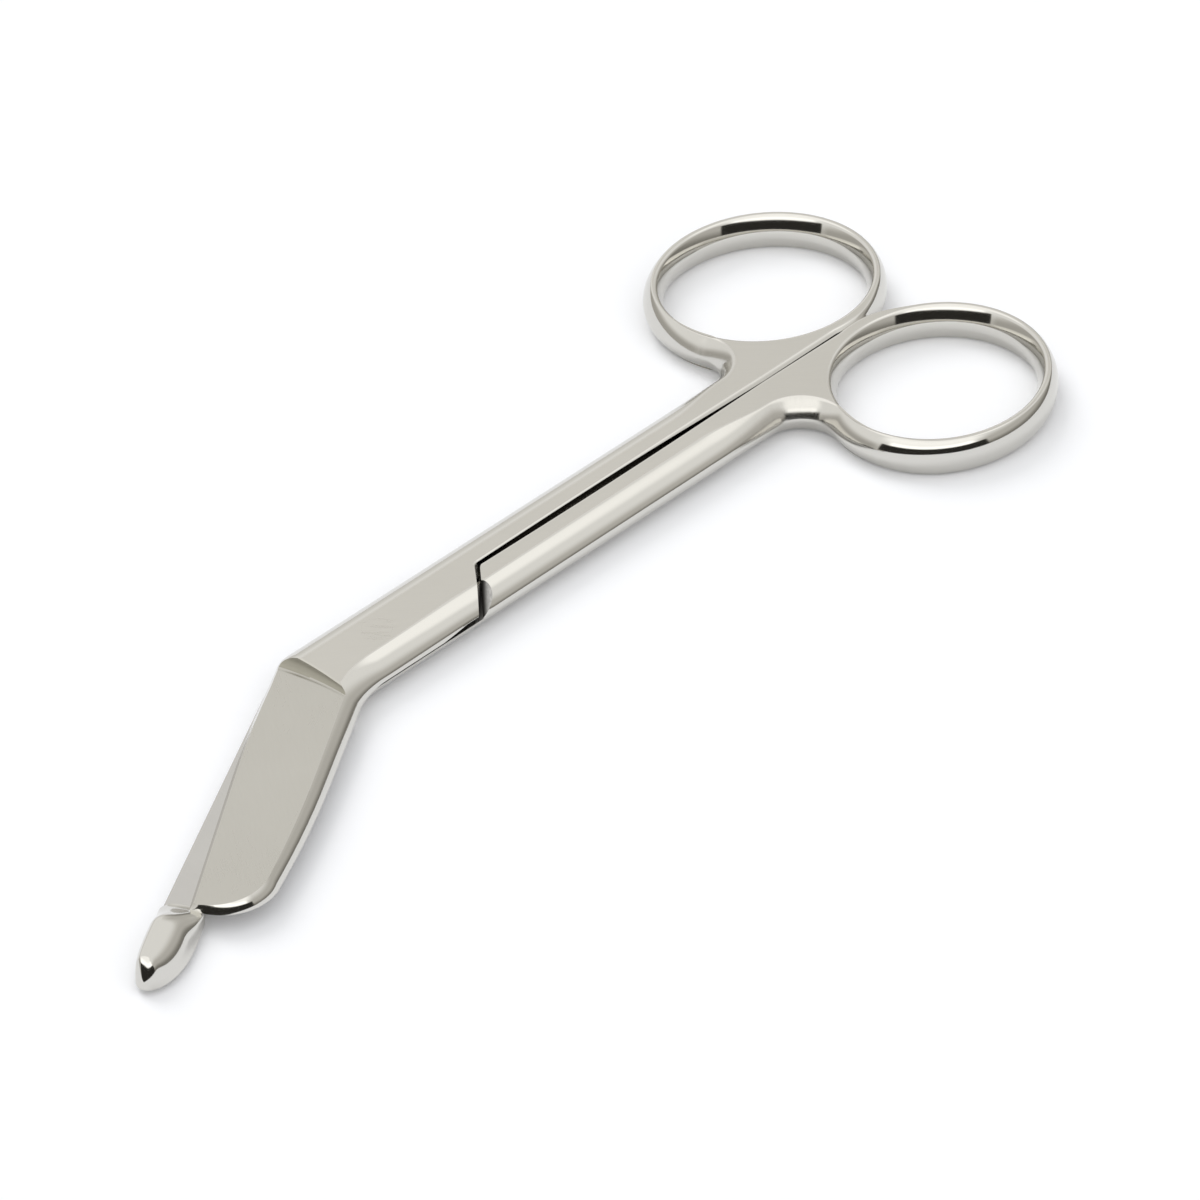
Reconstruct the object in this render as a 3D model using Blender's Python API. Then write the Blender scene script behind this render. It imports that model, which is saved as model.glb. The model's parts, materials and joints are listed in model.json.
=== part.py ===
"""Bandage scissors, 14 cm, angled to one side.

Two forged halves are lapped at the joint and turn on one countersunk screw. The upper
half has the short plain blade. The lower half has the long blade with the blunt probe.
Sizes are in millimetres and the mesh is made in metres. Shapes are worked out with the
screw's axis at x = y = 0 and the table at z = 0, the handles running along +X.
"""
import math

import bmesh
import bpy
from mathutils import Matrix, Vector

MM = 0.001

# The closed pair, and the gaps between its pieces
THICKNESS = 4.4
HALF_WIDTH = 4.9
LAP_GAP = 0.3
SEAM_GAP = 0.5
SEAM_BOW = 0.2
SEAM_END_GAP = 0.31
RING_GAP = 0.25
STEP_GAP = 0.35
SCREW_GAP = 0.3

# Finger rings: an oval band, measured at half its height
RING_CENTRE_X = 72.9
RING_LONG_RADIUS = 14.1
RING_SHORT_RADIUS = 12.5
RING_TILT = math.radians(5.2)
BAND_WIDTH = 2.25
RING_START = math.radians(7.0)
JUNCTION_RADIUS = 3.6

# The shoulder of the lap joint: from the seam out to the side, at an angle to the handle
SHOULDER_X = 14.7
SHOULDER_ANGLE = math.radians(46.0)
SHOULDER_CORNER_RADIUS = 1.0
RELIEF_SLOPE = math.radians(31.0)
RELIEF_TURN = math.radians(41.0)
RELIEF_START = 0.05

# The bend and the two blades; along is measured from the outer corner of the bend
BEND_X = -9.4
BEND_ANGLE = math.radians(29.0)
BEND_OUTER_RADIUS = 3.0
BEND_INNER_RADIUS = 11.0
BLADE_WIDTH = 10.0
SHORT_BLADE_LENGTH = 39.2
SHORT_BACK_BULGE = 0.7
SHORT_EDGE_START = 12.0
SHORT_EDGE_SETBACK = 2.3
SHORT_END_RADIUS = 5.9
LONG_BLADE_LENGTH = 50.3
LONG_BACK_SPREAD = 0.35
LONG_BEND_RADIUS = 7.7
LONG_BEND_STRAIGHT = 0.3
LONG_EDGE_RADIUS = 6.0
NECK_WIDTH = 3.6
# The back's highest point as a share of the short blade, and how much of the straight past each gentle
# bend its arc takes up
SHORT_BACK_PEAK = 0.62
SHORT_BACK_EASE = 0.83
SHORT_EDGE_EASE = 0.25

# Ground outer face of each blade, and the hollow scoop that ends it at the joint
FACE_BACK_DROP = 0.1
FACE_EDGE_THICKNESS = 0.85
FACE_TIP_DROP = 0.55
SCOOP_LEAN = 0.95
SCOOP_RIM_BULGE = 0.45
SCOOP_RIM_REACH = 6.4
SCOOP_HOLLOW = 0.12
SCOOP_STEEPNESS = 0.7
LEAST_DROP = 0.05

# Probe tip: a blunt bulb that stands above the inner face of the long blade
PROBE_WIDTH = 4.8
PROBE_RISE = 0.95
PROBE_FOOT = 0.4
PROBE_LENGTH = 11.7
PROBE_NOSE = 6.8
PROBE_LEAN = 0.8
# Powers that shape it: its section at the neck and the bulb, and its nose from above and from the side
NECK_FULLNESS = 6.0
BULB_FULLNESS = 2.2
NOSE_FULLNESS = 1.8
NOSE_FLATNESS = 0.8
NOSE_LEAN_POWER = 2.2

# Pivot screw, its head below
SCREW_RADIUS = 1.6
SCREW_HEAD_RADIUS = 2.9
SCREW_HEAD_DEPTH = 1.1
SCREW_RIM = 0.15
SCREW_RECESS = 0.15
SLOT_WIDTH = 0.7
SLOT_DEPTH = 0.6

# Finish of the mesh
MIDDLE_BAND = 0.12
RING_STEPS = 52
FILLET_STEPS = 7
SEAM_STEPS = 6
SIDE_STEPS = 4
SCOOP_STEPS = 5
SCOOP_ROWS = 12
SWELL_STEPS = 7
NOSE_STEPS = 8
PROBE_SIDES = 20
SCREW_STEPS = 40
ARC_STEP = math.radians(14.0)
LONGEST_EDGE = 9.0
SEARCH_STEPS = 400
SHARP_ANGLE = math.radians(30.0)
# Shares of the way round the ring, and along its fillet, over which one side turns into the next
SEAM_FADE = 0.1
NECK_FADE = 0.23
FILLET_FADE = 0.7

STEEL = (0.60, 0.59, 0.57, 1.0)
SCREW_STEEL = (0.52, 0.51, 0.50, 1.0)

LAP_PLANE = THICKNESS / 2
LAP_TOP = LAP_PLANE + LAP_GAP / 2
LAP_FOOT = LAP_PLANE - LAP_GAP / 2
NECK_START = LONG_BLADE_LENGTH - PROBE_LENGTH
# Cutters reach past every surface by this much, and past the whole part by that
CLEAR = 1.0
FAR = 4 * LONG_BLADE_LENGTH
# The ground face's cutter ends here, before its slope crosses its own top
FACE_REACH = 1.5 * LONG_BLADE_LENGTH

BLADE_RUN = Vector((-math.cos(BEND_ANGLE), -math.sin(BEND_ANGLE)))
BLADE_CROSS = Vector((math.sin(BEND_ANGLE), -math.cos(BEND_ANGLE)))
BEND_CORNER = Vector((BEND_X, HALF_WIDTH))


class Side:
    """How a side falls away from a flat: inset at the flat, height of the fall and its fullness.

    The fall is a superellipse quarter from start (at the wall) to crest (at the flat).
    """

    def __init__(self, inset, fall, fullness, crest, start=0.0):
        self.inset = inset
        self.fall = fall
        self.fullness = fullness
        self.crest = math.radians(crest)
        self.start = math.radians(start)

    def blend(self, other, share):
        def mix(a, b):
            return a + (b - a) * share

        mixed = Side(mix(self.inset, other.inset), mix(self.fall, other.fall),
                     mix(self.fullness, other.fullness), 0.0)
        mixed.crest = mix(self.crest, other.crest)
        mixed.start = mix(self.start, other.start)
        return mixed

    def step(self, share):
        """Inset and depth below the flat, from the wall (share 0) to the flat (share 1)."""
        def curve(angle):
            power = 2.0 / self.fullness
            return math.cos(angle) ** power, math.sin(angle) ** power

        angle = self.start + (self.crest - self.start) * share
        across, up = curve(angle)
        wall_across, wall_up = curve(self.start)
        flat_across, flat_up = curve(self.crest)
        inset = self.inset * (wall_across - across) / (wall_across - flat_across)
        depth = self.fall * (flat_up - up) / (flat_up - wall_up)
        return inset, depth


WALL_FALL = (THICKNESS - MIDDLE_BAND) / 2
RING_SIDE = Side(0.87, WALL_FALL, 2.0, 44.0)
HOLE_SIDE = Side(0.62, WALL_FALL, 2.0, 46.0, 11.0)
SEAM_SIDE = Side(0.45, 0.45, 1.0, 90.0)
NECK_SIDE = Side(1.1, WALL_FALL, 2.0, 52.0)
SHANK_SIDE = Side(2.6, WALL_FALL, 2.5, 74.0)
LAP_END_SIDE = Side(0.0, WALL_FALL, 2.0, 74.0)
BACK_SIDE = Side(2.4, WALL_FALL, 1.6, 80.0)
EDGE_SIDE = Side(1.0, WALL_FALL, 0.85, 88.0)


def ring_half_breadth():
    """Reach of the tilted oval across the handle."""
    return math.hypot(RING_LONG_RADIUS * math.sin(RING_TILT), RING_SHORT_RADIUS * math.cos(RING_TILT))


RING_CENTRE = Vector((RING_CENTRE_X, RING_GAP / 2 + ring_half_breadth()))


def ring_point(angle, inset=0.0):
    """A point of the ring's oval; inset moves it inward."""
    x = (RING_LONG_RADIUS - inset) * math.cos(angle)
    y = (RING_SHORT_RADIUS - inset) * math.sin(angle)
    return RING_CENTRE + Matrix.Rotation(-RING_TILT, 2) @ Vector((x, y))


def blade_point(along, across):
    """Plan position from the bend's outer corner: along the blade, and across towards its inner side."""
    return BEND_CORNER + BLADE_RUN * along + BLADE_CROSS * across


def bend_inner_point(along=0.0):
    """Where the blade's inner line meets the side of the joint, or a point that far past it."""
    start = blade_point(0.0, BLADE_WIDTH)
    return blade_point((start.y + HALF_WIDTH) / math.sin(BEND_ANGLE) + along, BLADE_WIDTH)


def smooth(share):
    """Eases from 0 to 1, level at both ends."""
    share = min(1.0, max(0.0, share))
    return share * share * (3 - 2 * share)


def long_edge_start():
    """Where the long blade's edge begins: past the bend's arc, a short straight and its own arc."""
    taper = math.atan2(BLADE_WIDTH - NECK_WIDTH, NECK_START)
    arcs = LONG_BEND_RADIUS * math.tan(BEND_ANGLE / 2) + LONG_EDGE_RADIUS * math.tan(taper / 2)
    return bend_inner_point(arcs + LONG_BEND_STRAIGHT)


def arc_radius(before, corner, after, ease):
    """Radius of the arc that leaves and meets the two straights at this distance from their corner."""
    return ease * math.tan((before - corner).angle(after - corner) / 2)


def rounded(corners):
    """Points of a path whose corners (point, radius, side) are rounded by tangent arcs.

    A corner of no radius may name a second side: the one that its outgoing edge starts with.
    """
    points = []
    for index in range(1, len(corners) - 1):
        before, corner, after = (corners[index + k][0] for k in (-1, 0, 1))
        radius, side = corners[index][1:3]
        if not radius:
            points.append((corner, side, corners[index][-1]))
            continue
        first = (before - corner).normalized()
        second = (after - corner).normalized()
        half = first.angle(second) / 2
        centre = corner + (first + second).normalized() * (radius / math.sin(half))
        begin = corner + first * (radius / math.tan(half))
        turn = math.pi - 2 * half
        count = max(2, round(turn / ARC_STEP))
        sign = 1.0 if first.cross(second) < 0 else -1.0
        for k in range(count + 1):
            arm = Matrix.Rotation(sign * turn * k / count, 2) @ (begin - centre)
            points.append((centre + arm, side, side))
    return points


def junction_fillet():
    """Centre of the fillet between the shank's side and the ring, and the angle where it meets the ring."""
    height = HALF_WIDTH + JUNCTION_RADIUS
    first = math.pi * 3 / 4
    angles = [first + first * k / SEARCH_STEPS for k in range(SEARCH_STEPS + 1)]

    def nearest(centre):
        return min(((ring_point(a) - centre).length, a) for a in angles)

    low = RING_CENTRE.x - 2 * RING_LONG_RADIUS
    high = RING_CENTRE.x - RING_LONG_RADIUS / 2
    for _ in range(40):
        middle = (low + high) / 2
        if nearest(Vector((middle, height)))[0] > JUNCTION_RADIUS:
            low = middle
        else:
            high = middle
    centre = Vector((low, height))
    return centre, nearest(centre)[1]


def seam_path():
    """The bowed seam edge of the upper half from the shoulder to where the rings touch."""
    start = Vector((SHOULDER_X, SEAM_GAP / 2))
    end = Vector((RING_CENTRE.x - RING_LONG_RADIUS, SEAM_END_GAP / 2))
    path = []
    for k in range(1, SEAM_STEPS + 1):
        share = k / SEAM_STEPS
        bow = Vector((0.0, SEAM_BOW * math.sin(math.pi * share)))
        path.append((start.lerp(end, share) + bow, SEAM_SIDE))
    return path


def handle_path():
    """Seam edge from the shoulder to the ring, round the ring, and back along the shank's outer side."""
    centre, last = junction_fillet()
    first = -math.pi / 2 - RING_START
    path = seam_path()
    for k in range(RING_STEPS + 1):
        share = k / RING_STEPS
        side = SEAM_SIDE.blend(RING_SIDE, min(1.0, share / SEAM_FADE))
        side = side.blend(NECK_SIDE, max(0.0, 1.0 - (1.0 - share) / NECK_FADE))
        path.append((ring_point(first + (last - first) * share), side))
    begin = (ring_point(last) - centre).normalized() * JUNCTION_RADIUS
    turn = begin.angle(Vector((0.0, -1.0)))
    for k in range(1, FILLET_STEPS + 1):
        share = k / FILLET_STEPS
        arm = Matrix.Rotation(-turn * share, 2) @ begin
        path.append((centre + arm, NECK_SIDE.blend(SHANK_SIDE, share * FILLET_FADE)))
    path.append((Vector((centre.x - JUNCTION_RADIUS, HALF_WIDTH)), SHANK_SIDE))
    return [(point, side, side) for point, side in path]


def shoulder_corners():
    """Outer and seam corners of the lap's end, seen from above."""
    depth = HALF_WIDTH / math.tan(SHOULDER_ANGLE)
    return Vector((SHOULDER_X - depth, -HALF_WIDTH)), Vector((SHOULDER_X, SEAM_GAP / 2))


def short_blade_path():
    joint = BEND_X + SHOULDER_X * 2
    edge_bend = blade_point(SHORT_EDGE_START, 0.0)
    edge_end = blade_point(SHORT_BLADE_LENGTH, SHORT_EDGE_SETBACK)
    back_end = blade_point(SHORT_BLADE_LENGTH, BLADE_WIDTH - SHORT_BACK_BULGE / 2)
    back_peak = blade_point(SHORT_BLADE_LENGTH * SHORT_BACK_PEAK, BLADE_WIDTH + SHORT_BACK_BULGE)
    inner = bend_inner_point()
    edge_ease = SHORT_EDGE_EASE * (SHORT_BLADE_LENGTH - SHORT_EDGE_START)
    back_ease = SHORT_BACK_EASE * (SHORT_BLADE_LENGTH * (1 - SHORT_BACK_PEAK) - SHORT_END_RADIUS)
    edge_radius = arc_radius(BEND_CORNER, edge_bend, edge_end, edge_ease)
    back_radius = arc_radius(back_end, back_peak, inner, back_ease)
    corners = [
        (Vector((joint, HALF_WIDTH)), 0.0, SHANK_SIDE),
        (BEND_CORNER, BEND_OUTER_RADIUS, SHANK_SIDE),
        (edge_bend, edge_radius, EDGE_SIDE),
        (edge_end, 0.0, EDGE_SIDE, BACK_SIDE),
        (back_end, SHORT_END_RADIUS, BACK_SIDE),
        (back_peak, back_radius, BACK_SIDE),
        (inner, BEND_INNER_RADIUS, BACK_SIDE),
        (Vector((joint, -HALF_WIDTH)), 0.0, SHANK_SIDE),
    ]
    return rounded(corners)


def long_blade_path():
    joint = BEND_X + SHOULDER_X * 2
    end = NECK_START + NECK_WIDTH / 3
    corners = [
        (Vector((joint, HALF_WIDTH)), 0.0, SHANK_SIDE),
        (BEND_CORNER, BEND_OUTER_RADIUS, SHANK_SIDE),
        (blade_point(end, -LONG_BACK_SPREAD), 0.0, BACK_SIDE, EDGE_SIDE),
        (blade_point(end, NECK_WIDTH), 0.0, EDGE_SIDE),
        (blade_point(NECK_START, NECK_WIDTH), 1.0, EDGE_SIDE),
        (long_edge_start(), LONG_EDGE_RADIUS, EDGE_SIDE),
        (bend_inner_point(), LONG_BEND_RADIUS, BACK_SIDE),
        (Vector((joint, -HALF_WIDTH)), 0.0, SHANK_SIDE),
    ]
    return rounded(corners)


def lap_end_path():
    """From the joint's inner side round the lap's end to the seam edge."""
    outer, seam = shoulder_corners()
    corners = [
        (Vector((BEND_X, -HALF_WIDTH)), 0.0, SHANK_SIDE),
        (outer, 0.0, SHANK_SIDE, LAP_END_SIDE),
        (seam, SHOULDER_CORNER_RADIUS, SEAM_SIDE),
        (seam_path()[0][0], 0.0, SEAM_SIDE),
    ]
    return rounded(corners)


def hole_path():
    """The finger hole at half height, clockwise so that its wall faces the opening."""
    angles = [-2 * math.pi * k / RING_STEPS for k in range(RING_STEPS)]
    return [(ring_point(a, BAND_WIDTH), HOLE_SIDE, HOLE_SIDE) for a in angles]


def mirrored(path):
    """The same path for the other half's handle, running the same way round."""
    return [(Vector((p.x, -p.y)), after, before) for p, before, after in reversed(path)]


def divided(path):
    """Adds points to long straight stretches so that a change of side is spread along them."""
    result = []
    for (here, before, side), (there, other, _) in zip(path, path[1:] + path[:1]):
        count = max(1, math.ceil((there - here).length / LONGEST_EDGE))
        result.append((here, before, side))
        for k in range(1, count):
            mixed = side.blend(other, k / count)
            result.append((here.lerp(there, k / count), mixed, mixed))
    return result


def corner_shift(arriving, leaving, inset, other):
    """Moves a corner to the left of both its edges, by an inset of its own for each of them."""
    first = Vector((-arriving.y, arriving.x))
    second = Vector((-leaving.y, leaving.x))
    if abs(arriving.cross(leaving)) < 0.2 or abs(inset - other) < 1e-9:
        normal = (first + second).normalized()
        return normal * ((inset + other) / 2 / normal.dot(first))
    along = (other - inset * first.dot(second)) / arriving.dot(second)
    return first * inset + arriving * along


def plate(name, outline, hole):
    """A flat blank: every side of the outline and the hole falls away from both flats."""
    bm = bmesh.new()
    shares = [k / SIDE_STEPS for k in range(SIDE_STEPS + 1)]
    levels = [(True, s) for s in reversed(shares)] + [(False, s) for s in shares]

    def wall(path):
        count = len(path)
        rows = []
        for upper, share in levels:
            row = []
            for i, (point, before, after) in enumerate(path):
                arriving = (point - path[i - 1][0]).normalized()
                leaving = (path[(i + 1) % count][0] - point).normalized()
                inset, depth = before.step(share)
                other, _ = after.step(share)
                plan = point + corner_shift(arriving, leaving, inset, other)
                height = THICKNESS - depth if upper else depth
                row.append(bm.verts.new((plan.x * MM, plan.y * MM, height * MM)))
            rows.append(row)
        for above, below in zip(rows, rows[1:]):
            for i in range(count):
                j = (i + 1) % count
                bm.faces.new((above[i], below[i], below[j], above[j]))
        return rows[0], rows[-1]

    outer_loops = wall(outline)
    inner_loops = wall(hole)
    for loops in zip(outer_loops, inner_loops):
        edges = [bm.edges.get((loop[i - 1], loop[i])) for loop in loops for i in range(len(loop))]
        bmesh.ops.triangle_fill(bm, edges=edges, use_beauty=True)
    return new_object(name, bm)


def new_object(name, bm):
    """A linked object with all its faces turned outward."""
    bmesh.ops.recalc_face_normals(bm, faces=bm.faces)
    mesh = bpy.data.meshes.new(name)
    bm.to_mesh(mesh)
    bm.free()
    obj = bpy.data.objects.new(name, mesh)
    bpy.context.scene.collection.objects.link(obj)
    return obj


def as_cutter(obj):
    obj.hide_render = True
    obj.display_type = 'WIRE'
    return obj


def swept(name, sections):
    """A cutter or form through closed sections of equal length, capped at both ends."""
    bm = bmesh.new()
    rows = [[bm.verts.new(Vector(point) * MM) for point in section] for section in sections]
    for first, second in zip(rows, rows[1:]):
        for i in range(len(first)):
            j = (i + 1) % len(first)
            bm.faces.new((first[i], first[j], second[j], second[i]))
    bm.faces.new(rows[0])
    bm.faces.new(rows[-1])
    return as_cutter(new_object(name, bm))


def prism(name, plan, low, high):
    """A cutter: a plan polygon between two heights, each a number or a function of the plan point."""
    def level(height):
        return [(p.x, p.y, height(p) if callable(height) else height) for p in plan]

    return swept(name, [level(low), level(high)])


def turned(name, profile):
    """A solid of revolution about the screw's axis from (radius, height) points, both ends on the axis."""
    bm = bmesh.new()
    rows = []
    for radius, height in profile:
        count = SCREW_STEPS if radius else 1
        angles = [2 * math.pi * k / SCREW_STEPS for k in range(count)]
        rows.append([bm.verts.new(Vector((radius * math.cos(a), radius * math.sin(a), height)) * MM)
                     for a in angles])
    for lower, upper in zip(rows, rows[1:]):
        for k in range(SCREW_STEPS):
            n = (k + 1) % SCREW_STEPS
            if len(lower) == 1:
                bm.faces.new((lower[0], upper[k], upper[n]))
            elif len(upper) == 1:
                bm.faces.new((lower[k], upper[0], lower[n]))
            else:
                bm.faces.new((lower[k], lower[n], upper[n], upper[k]))
    return new_object(name, bm)


def cut(obj, cutter, operation='DIFFERENCE'):
    modifier = obj.modifiers.new(cutter.name, 'BOOLEAN')
    modifier.operation = operation
    modifier.solver = 'EXACT'
    modifier.object = cutter


def screw_profile(gap):
    """Head, cone and shank from below; a gap makes it the hole that the screw sits in."""
    head = SCREW_HEAD_RADIUS + gap
    body = SCREW_RADIUS + gap
    cone = SCREW_RECESS + SCREW_HEAD_DEPTH + gap
    rim = SCREW_RECESS + SCREW_RIM + gap
    low = -CLEAR if gap else SCREW_RECESS
    high = THICKNESS + CLEAR if gap else THICKNESS
    return [(0.0, low), (head, low), (head, rim), (body, cone), (body, high), (0.0, high)]


def pivot_screw():
    screw = turned('pivot_screw', screw_profile(0.0))
    reach = SCREW_HEAD_RADIUS + CLEAR
    plan = [Vector((reach * a, SLOT_WIDTH / 2 * b)) for a, b in ((-1, -1), (1, -1), (1, 1), (-1, 1))]
    cut(screw, prism('slot_cutter', plan, -CLEAR, SCREW_RECESS + SLOT_DEPTH))
    return screw


def step_line(y, away):
    """A point of the lower half's shoulder, moved off the lap's end by away."""
    outer, seam = shoulder_corners()
    slope = (seam - outer).normalized()
    start = Vector((SHOULDER_X + away / math.sin(SHOULDER_ANGLE), 0.0))
    return start + slope * (y / slope.y)


def for_side(point, side):
    """Turns a point of the lower half half round the handle's axis to make one of the upper half."""
    x, y, z = point
    return (x, y, z) if side < 0 else (x, -y, THICKNESS - z)


def lap_cutter(name, side):
    """Takes away half the thickness past the shoulder; side is +1 for the half whose lap is on top."""
    seam = step_line(0.0, STEP_GAP)
    outer = step_line(-FAR, STEP_GAP)
    plan = [seam, outer, Vector((-FAR, -FAR)), Vector((-FAR, FAR)), Vector((seam.x, FAR))]
    levels = [[for_side((p.x, p.y, z), side) for p in plan] for z in (LAP_FOOT, THICKNESS + CLEAR)]
    return swept(name, levels)


def relief_cutter(name, side):
    """Slants the outer corner of the shoulder, where the other half's lap swings past it."""
    crest = step_line(SHANK_SIDE.inset - HALF_WIDTH + RELIEF_START, STEP_GAP)
    rise = math.tan(RELIEF_SLOPE)
    uphill = Vector((math.cos(RELIEF_TURN), math.sin(RELIEF_TURN)))

    def slant(p):
        return THICKNESS + (p - crest).dot(uphill) * rise

    low = step_line(-HALF_WIDTH - CLEAR / 2, STEP_GAP / 2)
    near = step_line(crest.y + CLEAR, STEP_GAP / 2)
    reach = Vector((HALF_WIDTH, 0.0))
    plan = [low, low + reach, near + reach, near]
    over = THICKNESS * 2
    levels = [[for_side((p.x, p.y, slant(p)), side) for p in plan],
              [for_side((p.x, p.y, over), side) for p in plan]]
    return swept(name, levels)


def face_cutter(name, side):
    """Grinds the outer face of a blade: a slanting flat that ends at the joint in a hollow scoop."""
    over = THICKNESS * 3
    edge_height = LAP_TOP + FACE_EDGE_THICKNESS
    back_height = THICKNESS - FACE_BACK_DROP

    def face_height(x, y):
        offset = Vector((x, y)) - BEND_CORNER
        across = offset.dot(BLADE_CROSS) / BLADE_WIDTH
        across = across if side > 0 else 1.0 - across
        along = offset.dot(BLADE_RUN) / SHORT_BLADE_LENGTH
        return edge_height + (back_height - edge_height) * across - FACE_TIP_DROP * along

    def row(y):
        away = min(1.0, abs(y) / SCOOP_RIM_REACH)
        rim = BEND_X + SCOOP_RIM_BULGE * math.cos(away * math.pi / 2)
        drop = max(THICKNESS - face_height(rim, y), LEAST_DROP)
        width = SCOOP_LEAN * drop + SCOOP_HOLLOW
        foot = face_height(rim - width, y)
        points = [(rim + THICKNESS, over), (rim, THICKNESS)]
        for m in range(1, SCOOP_STEPS + 1):
            t = m / SCOOP_STEPS
            x = rim - width * (SCOOP_STEEPNESS * t * (1 - t) + t * t)
            bend = (foot + SCOOP_HOLLOW * drop) * 2 * t * (1 - t)
            points.append((x, THICKNESS * (1 - t) ** 2 + bend + foot * t * t))
        points.append((-FACE_REACH, face_height(-FACE_REACH, y)))
        points.append((-FACE_REACH, over))
        return [(x, y, z if side > 0 else THICKNESS - z) for x, z in points]

    first = HALF_WIDTH + 3 * CLEAR
    stations = [first * (1 - 2 * k / SCOOP_ROWS) for k in range(SCOOP_ROWS + 1)]
    return swept(name, [row(y) for y in stations + [-FACE_REACH]])


def probe():
    """The blunt tip: sections lofted along the long blade, squarish at the neck, closed by a round nose."""
    nose_start = LONG_BLADE_LENGTH - PROBE_NOSE
    swell_length = nose_start - NECK_START
    middle = (NECK_WIDTH - LONG_BACK_SPREAD) / 2
    neck_half = (NECK_WIDTH + LONG_BACK_SPREAD) / 2 - MIDDLE_BAND
    nose_turn = math.pi / 2 / (NOSE_STEPS + 0.5)
    stations = [NECK_START + swell_length * k / SWELL_STEPS for k in range(1, SWELL_STEPS + 1)]
    stations += [nose_start + PROBE_NOSE * math.sin(nose_turn * k) for k in range(1, NOSE_STEPS + 1)]
    sections = []
    for along in stations:
        swell = smooth((along - NECK_START) / swell_length)
        nose = max(0.0, (along - nose_start) / PROBE_NOSE)
        close = (1 - nose ** NOSE_FULLNESS) ** (1 / NOSE_FULLNESS)
        wide = (neck_half + (PROBE_WIDTH / 2 - neck_half) * smooth(swell * 2)) * close
        top = LAP_FOOT + (PROBE_RISE + LAP_GAP / 2) * swell
        height = (top + PROBE_FOOT) / 2
        tall = (top - PROBE_FOOT) / 2 * close ** NOSE_FLATNESS
        fullness = NECK_FULLNESS + (BULB_FULLNESS - NECK_FULLNESS) * swell
        centre = blade_point(along, middle - PROBE_LEAN * nose ** NOSE_LEAN_POWER)
        section = []
        for k in range(PROBE_SIDES):
            angle = 2 * math.pi * (k + 0.5) / PROBE_SIDES
            c, s = math.cos(angle), math.sin(angle)
            plan = centre + BLADE_CROSS * (wide * math.copysign(abs(c) ** (2 / fullness), c))
            section.append((plan.x, plan.y, height + tall * math.copysign(abs(s) ** (2 / fullness), s)))
        sections.append(section)
    return swept('probe_form', sections)


def steel(name, colour, roughness):
    material = bpy.data.materials.new(name)
    material.use_nodes = True
    shader = material.node_tree.nodes['Principled BSDF']
    shader.inputs['Base Color'].default_value = colour
    shader.inputs['Metallic'].default_value = 1.0
    shader.inputs['Roughness'].default_value = roughness
    return material


def finish(obj, material):
    obj.data.materials.append(material)
    obj.data.shade_smooth()
    obj.data.set_sharp_from_angle(angle=SHARP_ANGLE)


def clear_scene():
    for obj in list(bpy.data.objects):
        bpy.data.objects.remove(obj, do_unlink=True)


def set_pivot(ring_end, blade_end):
    """Puts the closed pair's middle at the world's origin, and leaves each piece's own on the pivot."""
    high = max(v.co.x for v in ring_end.data.vertices)
    low = min(v.co.x for v in blade_end.data.vertices)
    for obj in bpy.data.objects:
        obj.location = (-(high + low) / 2, 0.0, 0.0)


def build():
    clear_scene()
    handle = handle_path()
    hole = hole_path()
    upper = plate('upper_half', divided(handle + short_blade_path() + lap_end_path()), hole)
    outline = mirrored(lap_end_path()) + long_blade_path() + mirrored(handle)
    lower = plate('lower_half', divided(outline), mirrored(hole))
    tip = probe()
    screw = pivot_screw()
    screw_hole = as_cutter(turned('screw_hole_cutter', screw_profile(SCREW_GAP)))
    for half, side, name in ((upper, 1.0, 'upper'), (lower, -1.0, 'lower')):
        cut(half, lap_cutter(name + '_lap_cutter', side))
        cut(half, relief_cutter(name + '_relief_cutter', side))
        cut(half, face_cutter(name + '_face_cutter', side))
        cut(half, screw_hole)
    cut(lower, tip, 'UNION')
    finish(upper, steel('upper_steel', STEEL, 0.25))
    finish(lower, steel('lower_steel', STEEL, 0.25))
    finish(screw, steel('screw_steel', SCREW_STEEL, 0.3))
    set_pivot(lower, tip)


build()
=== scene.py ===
"""Bandage scissors: the two finished halves and their screw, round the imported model.

Each half is made again by the rules of the part, with finer steps, closer gaps and small
rounded edges, and every kind of surface gets its own finish: satin flats, polished sides,
ground blade faces, milled laps and the ground relief at the shoulder. Sizes are in
millimetres with the screw's axis at x = y = 0, and the meshes are made in metres.
"""
import json
import math

import bmesh
import bpy
from mathutils import Matrix, Vector


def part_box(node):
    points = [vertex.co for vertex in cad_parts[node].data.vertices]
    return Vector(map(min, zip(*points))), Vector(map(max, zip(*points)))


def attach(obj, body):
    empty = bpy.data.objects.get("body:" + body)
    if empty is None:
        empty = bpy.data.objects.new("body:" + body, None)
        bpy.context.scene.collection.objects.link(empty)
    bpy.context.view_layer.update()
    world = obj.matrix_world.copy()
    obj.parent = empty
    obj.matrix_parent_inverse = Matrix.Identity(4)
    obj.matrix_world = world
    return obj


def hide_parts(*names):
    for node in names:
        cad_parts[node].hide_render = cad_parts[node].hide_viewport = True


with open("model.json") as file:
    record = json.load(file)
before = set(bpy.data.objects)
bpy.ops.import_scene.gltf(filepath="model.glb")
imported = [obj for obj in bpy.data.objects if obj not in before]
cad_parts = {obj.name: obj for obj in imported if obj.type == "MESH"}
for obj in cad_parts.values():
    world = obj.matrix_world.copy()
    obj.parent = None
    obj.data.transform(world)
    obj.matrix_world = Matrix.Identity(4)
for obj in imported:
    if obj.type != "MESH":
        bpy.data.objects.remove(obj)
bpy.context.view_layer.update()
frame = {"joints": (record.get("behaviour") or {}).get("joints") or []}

MM = 0.001
PIVOT = Vector(frame["joints"][0]["pos_m"])
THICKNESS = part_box("lower_half")[1].z / MM

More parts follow.
